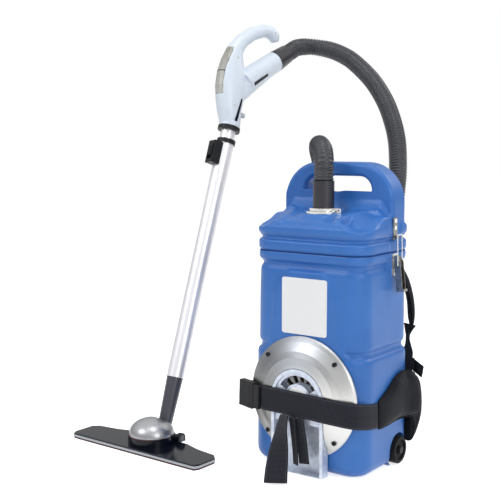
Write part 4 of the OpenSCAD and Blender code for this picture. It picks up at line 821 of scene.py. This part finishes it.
def puffed(name, node, cap, resting=True):
    """A pad blown up from its CAD solid; a resting pad keeps its face on the tank as it is."""
    bm = bmesh.new()
    bm.from_mesh(cad[node].data)
    bmesh.ops.remove_doubles(bm, verts=bm.verts, dist=1e-6)
    obj = new_object(name, bm)
    remesh = obj.modifiers.new("even squares", "REMESH")
    remesh.mode, remesh.voxel_size, remesh.use_smooth_shade = "VOXEL", 0.0045, True
    soften = obj.modifiers.new("soften", "SMOOTH")
    soften.factor, soften.iterations = 0.5, 3
    apply_modifiers(obj)
    start = [v.co.copy() for v in obj.data.vertices]
    free = []
    for vert in obj.data.vertices:
        out = outline_normal(vert.co.x, vert.co.y, tank_w, tank_d, corner)
        free.append(ease(-0.4, 0.3, vert.normal.dot(out)) if resting else 1.0)
    cloth = obj.modifiers.new("cover", "CLOTH")
    cloth.settings.quality = 6
    cloth.settings.use_pressure = True
    cloth.settings.uniform_pressure_force = 4.0
    cloth.settings.effector_weights.gravity = 0.0
    cloth.point_cache.frame_end = 20
    for frame_number in range(1, 21):
        bpy.context.scene.frame_set(frame_number)
    apply_modifiers(obj)
    bpy.context.scene.frame_set(1)
    for vert, was, share in zip(obj.data.vertices, start, free):
        moved = vert.co - was
        most = cap * share
        vert.co = was + (moved * min(1.0, most / moved.length) if moved.length > 1e-7 else moved)
    finer = obj.modifiers.new("finer", "SUBSURF")
    finer.levels = finer.render_levels = 1
    apply_modifiers(obj)
    for face in obj.data.polygons:
        face.use_smooth = True
    obj.data.materials.clear()
    obj.data.materials.append(pad_cloth)
    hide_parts(node)
    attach(obj, "root")
    print(name, "swelled by up to", round(1000 * cap, 1), "mm")
    return obj


def sewn_line(pad, points, radius, material, lift=0.0004):
    """Piping or thread laid along points, each pulled onto the pad's surface."""
    line = []
    for point in points:
        _, place, normal, _ = pad.closest_point_on_mesh(point)
        line.append(place + normal * lift)
    for _ in range(2):
        line = [line[0]] + [(a + 2 * b + c) / 4 for a, b, c in zip(line, line[1:], line[2:])] + [line[-1]]
    places, _ = stations(line, max(8, round(length_of(line) / 0.004)))
    bm = sweep(frames_along(places, (0.2, 0.3, 0.93)), [radius] * len(places), 10)
    obj = new_object(pad.name + "_seam", bm, material)
    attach(obj, "root")
    return obj


def length_of(line):
    """The length of a line of points."""
    return sum((b - a).length for a, b in zip(line, line[1:]))


def border(place, steps=24):
    """The closed edge of a pad, from its place function of u and v."""
    uv = [(k / steps, 0) for k in range(steps)] + [(1, k / steps) for k in range(steps)]
    uv += [(1 - k / steps, 1) for k in range(steps)] + [(0, 1 - k / steps) for k in range(steps + 1)]
    return [place(u, v) for u, v in uv]


# %% [markdown]
# The piping of a pad follows its sewn edge. A place function for each pad turns two shares, along
# and across it, into a point in space, so that the border is a walk round the unit square.

# %% Where each pad's edge runs
def back_place(u, v):
    """A point of the back pad, for u across it and v up it, each from 0 to 1."""
    return Vector(((u - 0.5) * 0.17 * (0.97 + 0.03 * wave(v)), 0.1125, 0.19 + 0.2 * v))


shoulder_route = smooth_route([(46, 118, 422), (62, 130, 411), (86, 143, 375), (101, 150, 330),
                               (106, 148, 285), (104, 143, 258)], 3)


def shoulder_place(u, v):
    """A point of the right shoulder pad, for u down its route and v across it."""
    index = round(u * (len(shoulder_route) - 1))
    way = shoulder_route[min(index + 1, len(shoulder_route) - 1)] - shoulder_route[max(index - 1, 0)]
    way.normalize()
    across = Vector((-0.5, 0.87, 0))
    across = (across - across.dot(way) * way).normalized()
    return shoulder_route[index] + across * (v - 0.5) * 0.056 * (0.7 + 0.3 * wave(u))


def hip_place(u, v):
    """A point of the right hip pad, for u forward round the tank's corner and v up."""
    turn = math.radians(80 * max(0, (u - 0.4) / 0.6))
    centre = Vector((0.132 - corner, 0.106 - corner, 0))
    centre.y = -0.048 + (centre.y + 0.048) * min(u / 0.4, 1)
    off = 18 * ease(0.3, 0.6, u) * (1 - 0.7 * ease(0.75, 1, u))
    degrees = math.degrees(turn)
    low = 92 - 66 * ease(15, 50, degrees) + 22 * ease(62, 82, degrees)
    high = 152 + 42 * ease(0, 0.35, u) - 26 * ease(0.4, 0.8, u)
    reach = corner + 0.0006 + (off + 4.8) / 1000
    return centre + Vector((reach * math.cos(turn), reach * math.sin(turn), (low + v * (high - low)) / 1000))


def mirrored(points):
    """Points of a right-hand pad on the left side."""
    return [Vector((-p.x, p.y, p.z)) for p in points]


# %% Make the five pads
back = puffed("pad_back", "back_pad", 0.004)
sewn_line(back, border(back_place), 0.0018, webbing_plain)
shoulder_edge = border(shoulder_place, len(shoulder_route) - 1)
hip_edge = border(hip_place)
for side, mirror in (("right", list), ("left", mirrored)):
    shoulder = puffed("pad_shoulder_" + side, "shoulder_pad_" + side, 0.0025, resting=False)
    sewn_line(shoulder, mirror(shoulder_edge), 0.0014, webbing_plain)
    hip = puffed("pad_hip_" + side, "hip_pad_" + side, 0.0035)
    sewn_line(hip, mirror(hip_edge), 0.0016, webbing_plain)

# %% [markdown]
# ## Webbing
# Webbing is a flat woven tape. Each band starts as a grid, whose long way is laid along its route and
# whose short way follows a side direction that may turn, which twists the band. Its UV map holds the
# distance along the band and the distance from its nearer edge, so the weave and the stitches follow.

# %% A band of webbing
tape_thick = 0.0022


def band(name, route, sides, width, nodes):
    """A strip of webbing along a route given in millimetres; its width is in metres."""
    line = smooth_route(route, 6)
    places, length = stations(line, max(6, round(length_of(smooth_route(route)) / 0.005)))
    count, across = len(places) - 1, 10
    bm = bmesh.new()
    weave = bm.loops.layers.uv.new("weave")
    bmesh.ops.create_grid(bm, x_segments=count, y_segments=across, size=0.5)
    for vert in bm.verts:
        run, off = vert.co.x + 0.5, vert.co.y
        for loop in vert.link_loops:
            loop[weave].uv = (run * length, width * (0.5 - abs(off)))
        point, way = places[round(run * count)]
        spot = run * (len(sides) - 1)
        low = min(int(spot), len(sides) - 2) if len(sides) > 1 else 0
        side = Vector(sides[low]).lerp(Vector(sides[min(low + 1, len(sides) - 1)]), spot - low)
        side = (side - side.dot(way) * way).normalized()
        edge_curl = 0.0006 * abs(2 * off) ** 6
        vert.co = point + side * off * width + way.cross(side) * edge_curl
    obj = new_object(name, bm, webbing)
    body = obj.modifiers.new("thickness", "SOLIDIFY")
    body.thickness, body.offset = tape_thick, 0.0
    edge = obj.modifiers.new("soft edge", "BEVEL")
    edge.width, edge.segments, edge.limit_method = tape_thick * 0.3, 2, "ANGLE"
    apply_modifiers(obj)
    for face in obj.data.polygons:
        face.use_smooth = True
    crisp(obj, 50)
    print(name, "is", round(1000 * length), "mm long")
    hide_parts(*nodes)
    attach(obj, "root")
    return obj


# %% [markdown]
# The belt runs from both hip pads round the front and meets in the buckle. Its spare ends hang down
# from there; a loose end twists, so the side direction turns as the band goes down.

# %% Waist belt and its tails
belt_right = [(134.9, -49, 122), (134.7, -58, 122), (132.6, -80, 125), (128, -100, 129),
              (122.8, -112.6, 131.5), (114, -120.8, 133.5), (98, -128.9, 136), (62, -133.5, 138.5),
              (0, -133.5, 141), (-62, -133.5, 142), (-81.8, -133.3, 142)]
belt_left = [(-143.2, -119.1, 139), (-145.8, -115.4, 139), (-147.6, -108, 138), (-147.2, -96, 135),
             (-142.6, -70, 129), (-137.4, -56, 125), (-135.3, -49.3, 125)]
band("belt_right_part", belt_right, [(0, 0, 1)], 0.05, ["waist_belt"])
band("belt_left_part", belt_left, [(0, 0, 1)], 0.05, ["waist_belt"])
band("belt_tail_wide", [(-22, -140, 117), (-22, -150, 94), (-16, -168, 58), (-7, -189, 24), (3, -207, 4)],
     [(0.75, -0.6, 0.1), (0.85, -0.45, 0.05), (0.95, -0.1, 0), (0.93, 0.25, 0), (0.88, 0.48, 0)], 0.045,
     ["belt_tails"])
band("belt_tail_narrow", [(8, -136, 115), (14, -138, 92), (21, -140, 60), (26, -141, 28)],
     [(0.98, -0.1, 0.15)], 0.025, ["belt_tails"])
band("belt_tail_under", [(-4, -139, 116), (0, -141, 92), (6, -144, 60), (9, -145, 24)],
     [(0.9, -0.35, 0.15), (0.8, -0.5, 0.1)], 0.02, ["belt_tails"])

# %% [markdown]
# Each shoulder strap is sewn to the tank's top by a short tab and runs on below its pad as webbing.

# %% Shoulder webbing, one band and one tab a side
web_route = [(105, 145.6, 269), (104, 142.6, 257), (104.5, 137.5, 240), (107.5, 129.5, 222),
             (109.2, 124.2, 206), (109.2, 124.2, 180), (107, 120.5, 170.4)]
web_turns = [math.radians(30 + 27 * wave(min(1, 1.67 * i / 15))) for i in range(16)]
tab_route = [(34, 103.8, 384), (34, 103.8, 402), (34.8, 106.4, 414.5), (37, 111.4, 422.5),
             (40.2, 115.2, 425.7), (43.7, 116.7, 423.5)]
tab_turns = [math.radians(49 * ease(1, 5, i)) for i in range(6)]
for side, s in (("right", 1), ("left", -1)):
    band("web_" + side, [(s * x, y, z) for x, y, z in web_route],
         [(s * math.cos(a), -math.sin(a), 0) for a in web_turns], 0.044, ["shoulder_webs"])
    band("tab_" + side, [(s * x, y, z) for x, y, z in tab_route],
         [(s * math.cos(a), -math.sin(a), 0) for a in tab_turns], 0.025, ["shoulder_webs"])
